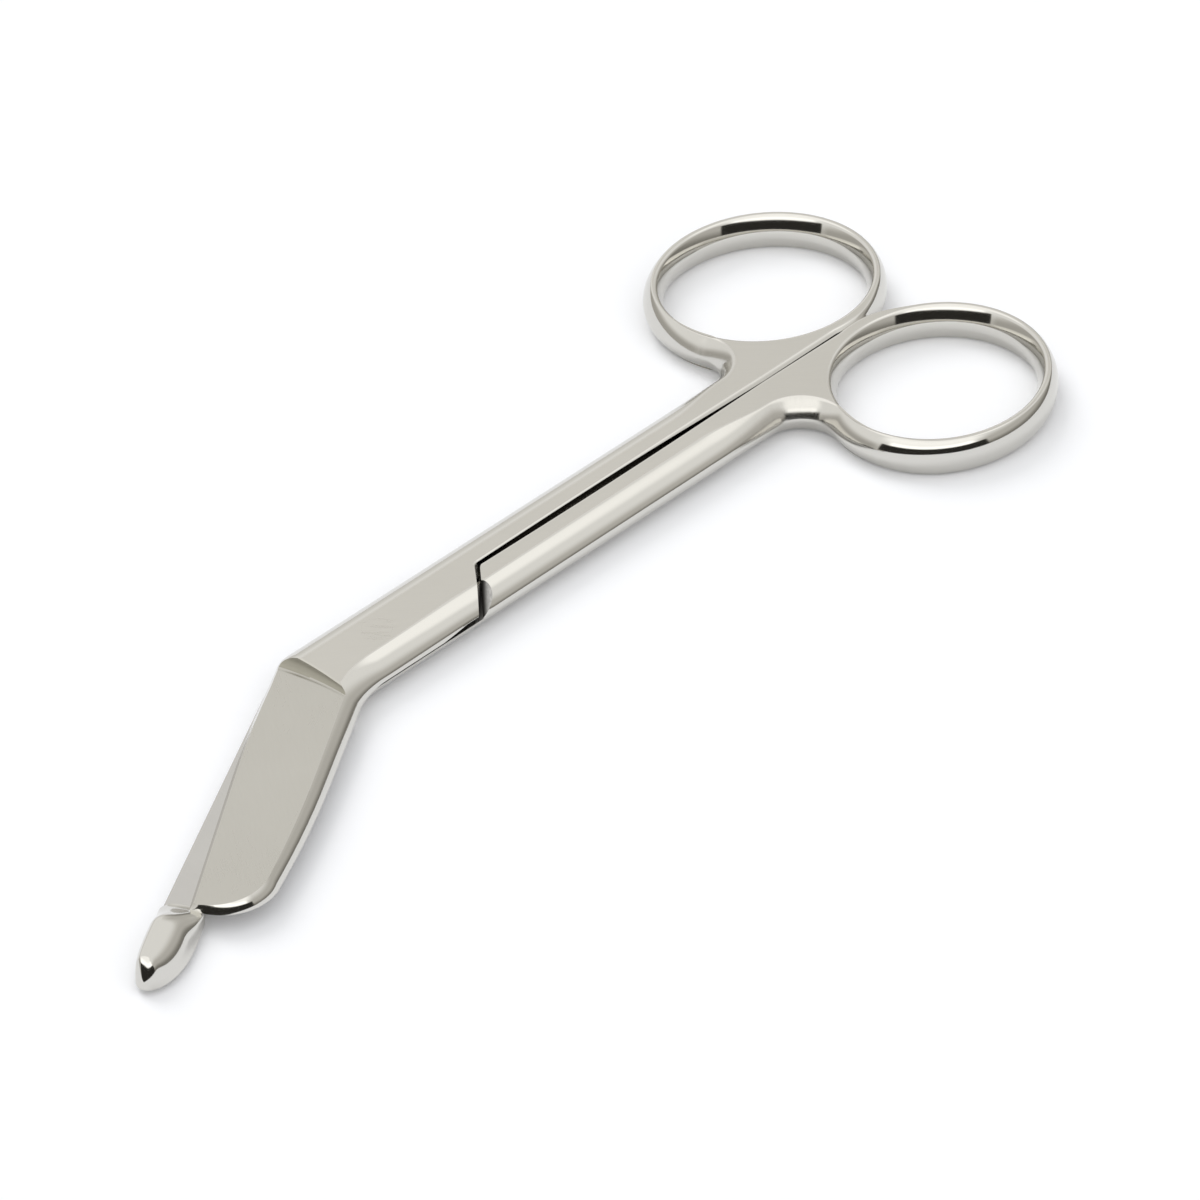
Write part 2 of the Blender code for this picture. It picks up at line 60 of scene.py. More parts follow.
# The closed pair, and the gaps between its pieces
HALF_WIDTH = 4.9
LAP_GAP = 0.14
SEAM_GAP = 0.5
SEAM_BOW = 0.2
SEAM_END_GAP = 0.28
RING_GAP = 0.06
STEP_GAP = 0.3
STEP_CORNER_EASE = 0.8
STEP_CORNER_REACH = 0.03
SCREW_GAP = 0.003
LAP_EASE = 0.42
LAP_EASE_LENGTH = 5.0
LAP_EASE_WIDTH = 1.5

# Finger rings: an oval band, measured at half its height
RING_CENTRE_X = 72.9
RING_LONG_RADIUS = 14.09
RING_SHORT_RADIUS = 12.5
RING_TILT = math.radians(5.2)
BAND_WIDTH = 2.25
RING_START = math.radians(4.0)
JUNCTION_RADIUS = 3.6

# The shoulder of the lap joint
SHOULDER_X = 14.7
SHOULDER_ANGLE = math.radians(46.0)
SHOULDER_CORNER_RADIUS = 1.0
RELIEF_SLOPE = math.radians(31.0)
RELIEF_TURN = math.radians(41.0)
RELIEF_START = 0.05

# The bend and the two blades; along is measured from the outer corner of the bend
BEND_X = -9.4
BEND_ANGLE = math.radians(29.0)
BEND_OUTER_RADIUS = 3.0
BEND_INNER_RADIUS = 11.0
BLADE_WIDTH = 10.0
SHORT_BLADE_LENGTH = 39.2
SHORT_BACK_BULGE = 0.7
SHORT_EDGE_START = 12.0
SHORT_EDGE_SETBACK = 2.3
SHORT_END_RADIUS = 5.9
LONG_BLADE_LENGTH = 49.85
LONG_BACK_SPREAD = 0.35
LONG_BEND_RADIUS = 7.7
LONG_BEND_STRAIGHT = 0.3
LONG_EDGE_RADIUS = 6.0
NECK_WIDTH = 3.6
SHORT_BACK_PEAK = 0.62
SHORT_BACK_EASE = 0.83
SHORT_EDGE_EASE = 0.25

# Ground outer face of each blade, and the hollow scoop that ends it at the joint
FACE_BACK_DROP = 0.1
FACE_EDGE_THICKNESS = 0.85
FACE_TIP_DROP = 0.55
SCOOP_LEAN = 1.35
SCOOP_RIM_BULGE = 0.45
SCOOP_RIM_REACH = 6.4
SCOOP_WIDTH = 0.3
SCOOP_DIP = 0.3
SCOOP_FOOT_STRIP = 0.2
SCOOP_STEEPNESS = 0.7
SCOOP_LIP = 0.2
SCOOP_LIP_DROP = 0.07
LEAST_DROP = 0.05

# Probe tip: it grows out of the long blade's neck and has its crest towards the back of the blade
PROBE_WIDTH = 4.8
PROBE_TOP = 3.85
PROBE_WAIST = 0.75
PROBE_FOOT = 0.4
PROBE_LENGTH = 11.25
PROBE_NOSE = 6.8
PROBE_ROOT = 1.0
PROBE_LEAN = 0.6
PROBE_SLOPE = 0.4
PROBE_INSET = 0.25
ROOT_FOOT = 1.0
ROOT_WAIST = 1.6
ROOT_SINK = 0.08
WIDTH_PACE = 3.0
WAIST_PACE = 1.2
NECK_FULLNESS = 5.0
EDGE_FULLNESS = 2.9
BACK_FULLNESS = 2.3
BULB_FULLNESS = 2.2
NOSE_FULLNESS = 2.25
NOSE_FRONT = 0.82
NOSE_DROP = 0.68
NOSE_ROUNDING = 1.25
NOSE_LEAN_POWER = 2.2

# Pivot screw, its head below
SCREW_RADIUS = 1.6
SCREW_HEAD_RADIUS = 2.9
SCREW_HEAD_DEPTH = 1.1
SCREW_RIM = 0.15
SCREW_RECESS = 0.15
SLOT_WIDTH = 0.7
SLOT_DEPTH = 0.6

# Fineness of the meshes
MIDDLE_BAND = 0.12
RING_STEPS = 210
FILLET_STEPS = 26
SEAM_STEPS = 40
SIDE_STEPS = 13
CREST_STEPS = 4
CORNER_STEPS = 8
SCOOP_STEPS = 14
SCOOP_ROWS = 48
SWELL_STEPS = 20
NOSE_STEPS = 30
PROBE_SIDES = 72
SCREW_STEPS = 96
ARC_STEP = math.radians(2.5)
LONGEST_EDGE = 1.2
SEARCH_STEPS = 3000
SHARP_ANGLE = math.radians(24.0)
STRAY_SIZE = 0.0001
SCOOP_TURN = math.radians(9.0)
SEAM_END = 0.04
SEAM_FADE = 0.11
SEAM_WIDENING = 0.45
NECK_FADE = 0.23
FILLET_FADE = 0.2
SHANK_FADE = 2.5

# Material slots of each half
FLAT, SIDE, LAP, FACE, RELIEF, SCOOP = range(6)

LAP_PLANE = THICKNESS / 2
LAP_TOP = LAP_PLANE + LAP_GAP / 2
LAP_FOOT = LAP_PLANE - LAP_GAP / 2
NECK_START = LONG_BLADE_LENGTH - PROBE_LENGTH
NECK_STUB = 0.35
CLEAR = 1.0
FAR = 4 * LONG_BLADE_LENGTH
FACE_REACH = 1.5 * LONG_BLADE_LENGTH

BLADE_RUN = Vector((-math.cos(BEND_ANGLE), -math.sin(BEND_ANGLE)))
BLADE_CROSS = Vector((math.sin(BEND_ANGLE), -math.cos(BEND_ANGLE)))
BEND_CORNER = Vector((BEND_X, HALF_WIDTH))


class Side:
    """How a side falls away from a flat: a superellipse quarter, and a small rounding at its crest."""

    def __init__(self, inset, fall, fullness, crest, start=0.0, rounding=0.0):
        self.inset = inset
        self.fall = fall
        self.fullness = fullness
        self.crest = math.radians(crest)
        self.start = math.radians(start)
        self.rounding = rounding

    def blend(self, other, share):
        def mix(a, b):
            return a + (b - a) * share

        mixed = Side(mix(self.inset, other.inset), mix(self.fall, other.fall),
                     mix(self.fullness, other.fullness), 0.0)
        mixed.crest = mix(self.crest, other.crest)
        mixed.start = mix(self.start, other.start)
        mixed.rounding = mix(self.rounding, other.rounding)
        return mixed

    def step(self, share):
        """Inset and depth below the flat, from the wall (share 0) to the flat (share 1)."""
        def curve(angle):
            power = 2.0 / self.fullness
            return math.cos(angle) ** power, math.sin(angle) ** power

        angle = self.start + (self.crest - self.start) * share
        across, up = curve(angle)
        wall_across, wall_up = curve(self.start)
        flat_across, flat_up = curve(self.crest)
        inset = self.inset * (wall_across - across) / (wall_across - flat_across)
        depth = self.fall * (flat_up - up) / (flat_up - wall_up)
        return Vector((inset, depth))

    def points(self):
        """The whole fall from the wall to the flat, its crest rounded over."""
        crest = self.step(1.0)
        near = 0.9
        pace = (crest - self.step(near)).length / (1.0 - near)
        last = 1.0 - self.rounding / pace
        fall = [self.step(last * k / SIDE_STEPS) for k in range(SIDE_STEPS + 1)]
        begin = fall[-1]
        end = crest + Vector(((crest - begin).length, 0.0))
        for k in range(1, CREST_STEPS + 1):
            t = k / CREST_STEPS
            fall.append(begin * (1 - t) ** 2 + crest * (2 * t * (1 - t)) + end * t * t)
        return fall


WALL_FALL = (THICKNESS - MIDDLE_BAND) / 2
HOLE_FALL = 1.75
RING_SIDE = Side(0.87, WALL_FALL, 2.0, 44.0, 0.0, 0.1)
HOLE_SIDE = Side(0.82, HOLE_FALL, 2.0, 34.0, 18.0, 0.22)
SEAM_SIDE = Side(0.1, 0.1, 1.0, 90.0, 0.0, 0.03)
SEAM_HANDLE_SIDE = Side(0.34, 0.34, 1.0, 90.0, 0.0, 0.05)
NECK_SIDE = Side(1.3, WALL_FALL, 2.0, 48.0, 19.0, 0.2)
SHANK_SIDE = Side(2.6, WALL_FALL, 1.8, 74.0, 0.0, 0.16)
LAP_END_SIDE = Side(0.0, WALL_FALL, 2.0, 74.0, 0.0, 0.05)
BACK_SIDE = Side(2.4, WALL_FALL, 1.6, 80.0, 0.0, 0.1)
END_SIDE = Side(1.67, WALL_FALL, 2.0, 56.0, 20.0, 0.1)
EDGE_SIDE = Side(1.0, WALL_FALL, 0.85, 88.0, 0.0, 0.02)


# Plan of the two halves


def ring_half_breadth():
    """Reach of the tilted oval across the handle."""
    return math.hypot(RING_LONG_RADIUS * math.sin(RING_TILT), RING_SHORT_RADIUS * math.cos(RING_TILT))


RING_CENTRE = Vector((RING_CENTRE_X, RING_GAP / 2 + ring_half_breadth()))
RING_TURN = Matrix.Rotation(-RING_TILT, 2)


def ring_point(angle, inset=0.0):
    """A point of the ring's oval; inset moves it inward."""
    x = (RING_LONG_RADIUS - inset) * math.cos(angle)
    y = (RING_SHORT_RADIUS - inset) * math.sin(angle)
    return RING_CENTRE + RING_TURN @ Vector((x, y))


def blade_point(along, across):
    """Plan position from the bend's outer corner: along the blade, and across towards its inner side."""
    return BEND_CORNER + BLADE_RUN * along + BLADE_CROSS * across


def bend_inner_point(along=0.0):
    """Where the blade's inner line meets the side of the joint, or a point that far past it."""
    start = blade_point(0.0, BLADE_WIDTH)
    return blade_point((start.y + HALF_WIDTH) / math.sin(BEND_ANGLE) + along, BLADE_WIDTH)


def smooth(share):
    """Eases from 0 to 1, level at both ends."""
    share = min(1.0, max(0.0, share))
    return share * share * (3 - 2 * share)


def long_edge_start():
    """Where the long blade's edge begins: past the bend's arc, a short straight and its own arc."""
    taper = math.atan2(BLADE_WIDTH - NECK_WIDTH, NECK_START)
    arcs = LONG_BEND_RADIUS * math.tan(BEND_ANGLE / 2) + LONG_EDGE_RADIUS * math.tan(taper / 2)
    return bend_inner_point(arcs + LONG_BEND_STRAIGHT)


def arc_radius(before, corner, after, ease):
    """Radius of the arc that leaves and meets the two straights at this distance from their corner."""
    return ease * math.tan((before - corner).angle(after - corner) / 2)


def rounded(corners):
    """Points of a path whose corners (point, radius, side) are rounded by tangent arcs."""
    points = []
    for index in range(1, len(corners) - 1):
        before, corner, after = (corners[index + k][0] for k in (-1, 0, 1))
        radius, side = corners[index][1:3]
        last = corners[index][-1]
        if not radius:
            points.append((corner, side, last))
            continue
        first = (before - corner).normalized()
        second = (after - corner).normalized()
        half = first.angle(second) / 2
        centre = corner + (first + second).normalized() * (radius / math.sin(half))
        begin = corner + first * (radius / math.tan(half))
        turn = math.pi - 2 * half
        count = max(6, round(turn / ARC_STEP))
        sign = 1.0 if first.cross(second) < 0 else -1.0
        for k in range(count + 1):
            arm = Matrix.Rotation(sign * turn * k / count, 2) @ (begin - centre)
            mixed = side.blend(last, smooth(k / count))
            points.append((centre + arm, mixed, mixed))
    return points


def junction_fillet():
    """Centre of the fillet between the shank's side and the ring, and the angle where it meets the ring."""
    height = HALF_WIDTH + JUNCTION_RADIUS
    first = math.pi * 3 / 4
    angles = [first + first * k / SEARCH_STEPS for k in range(SEARCH_STEPS + 1)]
    ring = [(ring_point(a), a) for a in angles]

    def nearest(centre):
        return min(((point - centre).length_squared, a) for point, a in ring)

    low = RING_CENTRE.x - 2 * RING_LONG_RADIUS
    high = RING_CENTRE.x - RING_LONG_RADIUS / 2
    for _ in range(30):
        middle = (low + high) / 2
        if nearest(Vector((middle, height)))[0] > JUNCTION_RADIUS ** 2:
            low = middle
        else:
            high = middle
    centre = Vector((low, height))
    return centre, nearest(centre)[1]


FILLET_CENTRE, FILLET_END = junction_fillet()


def seam_path(chamfer):
    """The bowed seam edge of one half from the shoulder to where the rings touch."""
    start = Vector((SHOULDER_X, SEAM_GAP / 2))
    end = Vector((RING_CENTRE.x - RING_LONG_RADIUS, SEAM_END_GAP / 2))
    path = []
    for k in range(1, SEAM_STEPS + 1):
        share = k / SEAM_STEPS
        bow = Vector((0.0, SEAM_BOW * math.sin(math.pi * share)))
        widening = smooth((share - SEAM_WIDENING) / (1 - SEAM_WIDENING))
        path.append((start.lerp(end, share) + bow, SEAM_SIDE.blend(chamfer, widening)))
    return path


def handle_path(chamfer):
    """Seam edge from the shoulder to the ring, round the ring, and back along the shank's outer side."""
    first = -math.pi / 2 - RING_START
    path = seam_path(chamfer)
    for k in range(RING_STEPS + 1):
        share = k / RING_STEPS
        side = chamfer.blend(RING_SIDE, smooth((share - SEAM_END) / SEAM_FADE))
        side = side.blend(NECK_SIDE, smooth(1.0 - (1.0 - share) / NECK_FADE))
        path.append((ring_point(first + (FILLET_END - first) * share), side))
    begin = (ring_point(FILLET_END) - FILLET_CENTRE).normalized() * JUNCTION_RADIUS
    turn = begin.angle(Vector((0.0, -1.0)))
    for k in range(1, FILLET_STEPS + 1):
        share = k / FILLET_STEPS
        arm = Matrix.Rotation(-turn * share, 2) @ begin
        path.append((FILLET_CENTRE + arm, NECK_SIDE.blend(SHANK_SIDE, share * FILLET_FADE)))
    path.append((Vector((FILLET_CENTRE.x - JUNCTION_RADIUS * SHANK_FADE, HALF_WIDTH)), SHANK_SIDE))
    return [(point, side, side) for point, side in path]


def shoulder_corners():
    """Outer and seam corners of the lap's end, seen from above."""
    depth = HALF_WIDTH / math.tan(SHOULDER_ANGLE)
    return Vector((SHOULDER_X - depth, -HALF_WIDTH)), Vector((SHOULDER_X, SEAM_GAP / 2))


def short_blade_path():
    joint = BEND_X + SHOULDER_X * 2
    edge_bend = blade_point(SHORT_EDGE_START, 0.0)
    edge_end = blade_point(SHORT_BLADE_LENGTH, SHORT_EDGE_SETBACK)
    back_end = blade_point(SHORT_BLADE_LENGTH, BLADE_WIDTH - SHORT_BACK_BULGE / 2)
    back_peak = blade_point(SHORT_BLADE_LENGTH * SHORT_BACK_PEAK, BLADE_WIDTH + SHORT_BACK_BULGE)
    inner = bend_inner_point()
    edge_ease = SHORT_EDGE_EASE * (SHORT_BLADE_LENGTH - SHORT_EDGE_START)
    back_ease = SHORT_BACK_EASE * (SHORT_BLADE_LENGTH * (1 - SHORT_BACK_PEAK) - SHORT_END_RADIUS)
    edge_radius = arc_radius(BEND_CORNER, edge_bend, edge_end, edge_ease)
    back_radius = arc_radius(back_end, back_peak, inner, back_ease)
    corners = [
        (Vector((joint, HALF_WIDTH)), 0.0, SHANK_SIDE),
        (BEND_CORNER, BEND_OUTER_RADIUS, SHANK_SIDE),
        (edge_bend, edge_radius, EDGE_SIDE),
        (edge_end, 0.0, EDGE_SIDE, END_SIDE),
        (back_end, SHORT_END_RADIUS, END_SIDE, BACK_SIDE),
        (back_peak, back_radius, BACK_SIDE),
        (inner, BEND_INNER_RADIUS, BACK_SIDE),
        (Vector((joint, -HALF_WIDTH)), 0.0, SHANK_SIDE),
    ]
    return rounded(corners)


def long_blade_path():
    joint = BEND_X + SHOULDER_X * 2
    end = NECK_START + NECK_STUB
    corners = [
        (Vector((joint, HALF_WIDTH)), 0.0, SHANK_SIDE),
        (BEND_CORNER, BEND_OUTER_RADIUS, SHANK_SIDE),
        (blade_point(end, -LONG_BACK_SPREAD), 0.0, BACK_SIDE, EDGE_SIDE),
        (blade_point(end, NECK_WIDTH), 0.0, EDGE_SIDE),
        (blade_point(NECK_START - PROBE_ROOT, NECK_WIDTH), 1.1, EDGE_SIDE),
        (long_edge_start(), LONG_EDGE_RADIUS, EDGE_SIDE),
        (bend_inner_point(), LONG_BEND_RADIUS, BACK_SIDE),
        (Vector((joint, -HALF_WIDTH)), 0.0, SHANK_SIDE),
    ]
    return rounded(corners)


def lap_end_path():
    """From the joint's inner side round the lap's end to the seam edge."""
    outer, seam = shoulder_corners()
    corners = [
        (Vector((BEND_X, -HALF_WIDTH)), 0.0, SHANK_SIDE),
        (outer, 0.0, SHANK_SIDE, LAP_END_SIDE),
        (seam, SHOULDER_CORNER_RADIUS, SEAM_SIDE),
        (seam_path(SEAM_SIDE)[0][0], 0.0, SEAM_SIDE),
    ]
    return rounded(corners)


def hole_path():
    """The finger hole at half height, clockwise so that its wall faces the opening."""
    angles = [-2 * math.pi * k / RING_STEPS for k in range(RING_STEPS)]
    return [(ring_point(a, BAND_WIDTH), HOLE_SIDE, HOLE_SIDE) for a in angles]


def mirrored(path):
    """The same path for the other half's handle, running the same way round."""
    return [(Vector((p.x, -p.y)), after, before) for p, before, after in reversed(path)]


def divided(path):
    """Adds points to long straight stretches so that a change of side is spread along them.

    The lap's end stays in one stretch: its outer corner carries the whole of the side's round.
    """
    result = []
    for (here, before, side), (there, other, _) in zip(path, path[1:] + path[:1]):
        whole = LAP_END_SIDE in (side, other)
        count = 1 if whole else max(1, math.ceil((there - here).length / LONGEST_EDGE))
        result.append((here, before, side))
        for k in range(1, count):
            mixed = side.blend(other, smooth(k / count) if count > 4 else k / count)
            result.append((here.lerp(there, k / count), mixed, mixed))
    return result


def corner_shift(arriving, leaving, inset, other):
    """Moves a corner to the left of both its edges, by an inset of its own for each of them."""
    first = Vector((-arriving.y, arriving.x))
    second = Vector((-leaving.y, leaving.x))
    if abs(arriving.cross(leaving)) < 0.2 or abs(inset - other) < 1e-9:
        normal = (first + second).normalized()
        return normal * ((inset + other) / 2 / normal.dot(first))
    along = (other - inset * first.dot(second)) / arriving.dot(second)
    return first * inset + arriving * along


# Meshes


def plate(name, outline, hole):
    """A flat blank: every side of the outline and the hole falls away from both flats.

    The sides get a UV map in millimetres: along the path, and down the side.
    """
    bm = bmesh.new()
    run = bm.loops.layers.uv.new('run')

    def wall(path):
        count = len(path)
        columns = []
        along = [0.0]
        for i, (point, before, after) in enumerate(path):
            arriving = (point - path[i - 1][0]).normalized()
            leaving = path[(i + 1) % count][0] - point
            along.append(along[-1] + leaving.length)
            leaving.normalize()
            one, two = before.points(), after.points()
            column = []
            for (inset, depth), (other, _) in zip(one, two):
                plan = point + corner_shift(arriving, leaving, inset, other)
                column.append((plan, depth))
            levels = [(plan, THICKNESS - depth) for plan, depth in reversed(column)] + column
            down = [0.0]
            for (p, h), (q, g) in zip(levels, levels[1:]):
                down.append(down[-1] + math.hypot((q - p).length, g - h))
            verts = [bm.verts.new((p.x * MM, p.y * MM, h * MM)) for p, h in levels]
            columns.append((verts, down))
        for i in range(count):
            (left, left_down), (right, right_down) = columns[i], columns[(i + 1) % count]
            for k in range(len(left) - 1):
                face = bm.faces.new((left[k], left[k + 1], right[k + 1], right[k]))
                face.material_index = SIDE
                places = ((along[i], left_down[k]), (along[i], left_down[k + 1]),
                          (along[i + 1], right_down[k + 1]), (along[i + 1], right_down[k]))
                for loop, place in zip(face.loops, places):
                    loop[run].uv = place
        return [verts[0] for verts, _ in columns], [verts[-1] for verts, _ in columns]

    outer_loops = wall(outline)
    inner_loops = wall(hole)
    for loops in zip(outer_loops, inner_loops):
        edges = [bm.edges.get((loop[i - 1], loop[i])) for loop in loops for i in range(len(loop))]
        filled = bmesh.ops.triangle_fill(bm, edges=edges, use_beauty=True)
        for element in filled['geom']:
            if isinstance(element, bmesh.types.BMFace):
                element.material_index = FLAT
    return new_object(name, bm)


def new_object(name, bm, slot=None):
    """A linked object with all its faces turned outward."""
    if slot is not None:
        for face in bm.faces:
            face.material_index = slot
    bmesh.ops.recalc_face_normals(bm, faces=bm.faces)
    mesh = bpy.data.meshes.new(name)
    bm.to_mesh(mesh)
    bm.free()
    obj = bpy.data.objects.new(name, mesh)
    bpy.context.scene.collection.objects.link(obj)
    return obj


def swept(name, sections, slot):
    """A cutter or form through closed sections of equal length, capped at both ends."""
    bm = bmesh.new()
    rows = [[bm.verts.new(Vector(point) * MM) for point in section] for section in sections]
    for first, second in zip(rows, rows[1:]):
        for i in range(len(first)):
            j = (i + 1) % len(first)
            bm.faces.new((first[i], first[j], second[j], second[i]))
    bm.faces.new(rows[0])
    bm.faces.new(rows[-1])
    return new_object(name, bm, slot)


def turned(name, profile, slot):
    """A solid of revolution about the screw's axis from (radius, height) points, both ends on the axis."""
    bm = bmesh.new()
    rows = []
    for radius, height in profile:
        count = SCREW_STEPS if radius else 1
        angles = [2 * math.pi * k / SCREW_STEPS for k in range(count)]
        rows.append([bm.verts.new(Vector((radius * math.cos(a), radius * math.sin(a), height)) * MM)
                     for a in angles])
    for lower, upper in zip(rows, rows[1:]):
        for k in range(SCREW_STEPS):
            n = (k + 1) % SCREW_STEPS
            if len(lower) == 1:
                bm.faces.new((lower[0], upper[k], upper[n]))
            elif len(upper) == 1:
                bm.faces.new((lower[k], upper[0], lower[n]))
            else:
                bm.faces.new((lower[k], lower[n], upper[n], upper[k]))
    return new_object(name, bm, slot)


def combine(obj, tools):
    """Cuts or joins each (tool, operation) in turn and leaves one plain mesh; the tools are left in place."""
    for tool, operation in tools:
        modifier = obj.modifiers.new(tool.name, 'BOOLEAN')
        modifier.operation = operation
        modifier.solver = 'EXACT'
        modifier.material_mode = 'INDEX'
        modifier.object = tool
    graph = bpy.context.evaluated_depsgraph_get()
    mesh = bpy.data.meshes.new_from_object(obj.evaluated_get(graph))
    obj.modifiers.clear()
    obj.data = mesh
    return obj


def remove_tools(tools):
    for tool in tools:
        bpy.data.objects.remove(tool, do_unlink=True)


def screw_profile(gap):
    """Head, cone and shank from below; a gap makes it the hole that the screw sits in."""
    head = SCREW_HEAD_RADIUS + gap
    body = SCREW_RADIUS + gap
    cone = SCREW_RECESS + SCREW_HEAD_DEPTH + gap
    rim = SCREW_RECESS + SCREW_RIM + gap
    low = -CLEAR if gap else SCREW_RECESS
    high = THICKNESS + CLEAR if gap else THICKNESS
    return [(0.0, low), (head, low), (head, rim), (body, cone), (body, high), (0.0, high)]


def step_line(y, away):
    """A point of the lower half's shoulder, moved off the lap's end by away."""
    outer, seam = shoulder_corners()
    slope = (seam - outer).normalized()
    start = Vector((SHOULDER_X + away / math.sin(SHOULDER_ANGLE), 0.0))
    return start + slope * (y / slope.y)


def for_side(point, side):
    """Turns a point of the lower half half round the handle's axis to make one of the upper half."""
    x, y, z = point
    return (x, y, z) if side < 0 else (x, -y, THICKNESS - z)


def lap_cutter(name, side):
    """Takes away half the thickness past the shoulder; side is +1 for the half whose lap is on top."""
    corner = step_line(STEP_CORNER_REACH - SEAM_GAP / 2, STEP_GAP)
    outer = step_line(-FAR, STEP_GAP)
    begin = corner + Vector((STEP_CORNER_EASE, 0.0))
    end = corner + (outer - corner).normalized() * STEP_CORNER_EASE
    round_off = []
    for k in range(CORNER_STEPS + 1):
        t = k / CORNER_STEPS
        round_off.append(begin * (1 - t) ** 2 + corner * (2 * t * (1 - t)) + end * t * t)
    plan = [Vector((begin.x, FAR))] + round_off + [outer, Vector((-FAR, -FAR)), Vector((-FAR, FAR))]
    levels = [[for_side((p.x, p.y, z), side) for p in plan] for z in (LAP_FOOT, THICKNESS + CLEAR)]
    return swept(name, levels, LAP)


def relief_cutter(name, side):
    """Slants the outer corner of the shoulder, where the other half's lap swings past it."""
    crest = step_line(SHANK_SIDE.inset - HALF_WIDTH + RELIEF_START, STEP_GAP)
    rise = math.tan(RELIEF_SLOPE)
    uphill = Vector((math.cos(RELIEF_TURN), math.sin(RELIEF_TURN)))

    def slant(p):
        return THICKNESS + (p - crest).dot(uphill) * rise

    low = step_line(-HALF_WIDTH - CLEAR / 2, STEP_GAP / 2)
    near = step_line(crest.y + CLEAR, STEP_GAP / 2)
    reach = Vector((HALF_WIDTH, 0.0))
    plan = [low, low + reach, near + reach, near]
    levels = [[for_side((p.x, p.y, slant(p)), side) for p in plan],
              [for_side((p.x, p.y, THICKNESS * 2), side) for p in plan]]
    return swept(name, levels, RELIEF)


def ease_cutter(name, side):
    """Lifts the outer edge of the lap a little towards the shoulder."""
    outer = shoulder_corners()[0]
    stations = ((outer.x - LAP_EASE_LENGTH, 0.02), (outer.x + CLEAR, LAP_EASE))
    sections = []
    for x, rise in stations:
        inside = HALF_WIDTH - LAP_EASE_WIDTH
        profile = [(inside, LAP_FOOT), (HALF_WIDTH + CLEAR, LAP_FOOT - rise * (1 + CLEAR / LAP_EASE_WIDTH)),
                   (HALF_WIDTH + CLEAR, LAP_FOOT + CLEAR), (inside, LAP_FOOT + CLEAR)]
        sections.append([for_side((x, y, z), side) for y, z in profile])
    return swept(name, sections, LAP)


def face_cutter(name, side):
    """Grinds the outer face of a blade: a slanting flat that ends at the joint in a hollow scoop."""
    over = THICKNESS * 3
    edge_height = LAP_PLANE + FACE_EDGE_THICKNESS + 0.15
    back_height = THICKNESS - FACE_BACK_DROP

    def face_height(x, y):
        offset = Vector((x, y)) - BEND_CORNER
        across = offset.dot(BLADE_CROSS) / BLADE_WIDTH
        across = across if side > 0 else 1.0 - across
        along = offset.dot(BLADE_RUN) / SHORT_BLADE_LENGTH
        return edge_height + (back_height - edge_height) * across - FACE_TIP_DROP * along

    def row(y):
        away = min(1.0, abs(y) / SCOOP_RIM_REACH)
        rim = BEND_X + SCOOP_RIM_BULGE * math.cos(away * math.pi / 2)
        drop = max(THICKNESS - face_height(rim, y), LEAST_DROP)
        width = SCOOP_LEAN * drop + SCOOP_WIDTH
        foot = face_height(rim - width, y)
        start = THICKNESS - min(SCOOP_LIP_DROP, drop / 3)
        points = [(rim + THICKNESS, over), (rim + SCOOP_LIP, THICKNESS), (rim, start)]
        for m in range(1, SCOOP_STEPS + 1):
            t = m / SCOOP_STEPS
            x = rim - width * (SCOOP_STEEPNESS * t * (1 - t) + t * t)
            bend = (foot - SCOOP_DIP * drop) * 2 * t * (1 - t)
            points.append((x, start * (1 - t) ** 2 + bend + foot * t * t))
        beyond = points[-1][0] - SCOOP_FOOT_STRIP
        points.append((beyond, face_height(beyond, y)))
        points.append((-FACE_REACH, face_height(-FACE_REACH, y)))
        points.append((-FACE_REACH, over))
        return [(x, y, z if side > 0 else THICKNESS - z) for x, z in points]

    first = HALF_WIDTH + 3 * CLEAR
    stations = [first * (1 - 2 * k / SCOOP_ROWS) for k in range(SCOOP_ROWS + 1)]
    return swept(name, [row(y) for y in stations + [-FACE_REACH]], FACE)


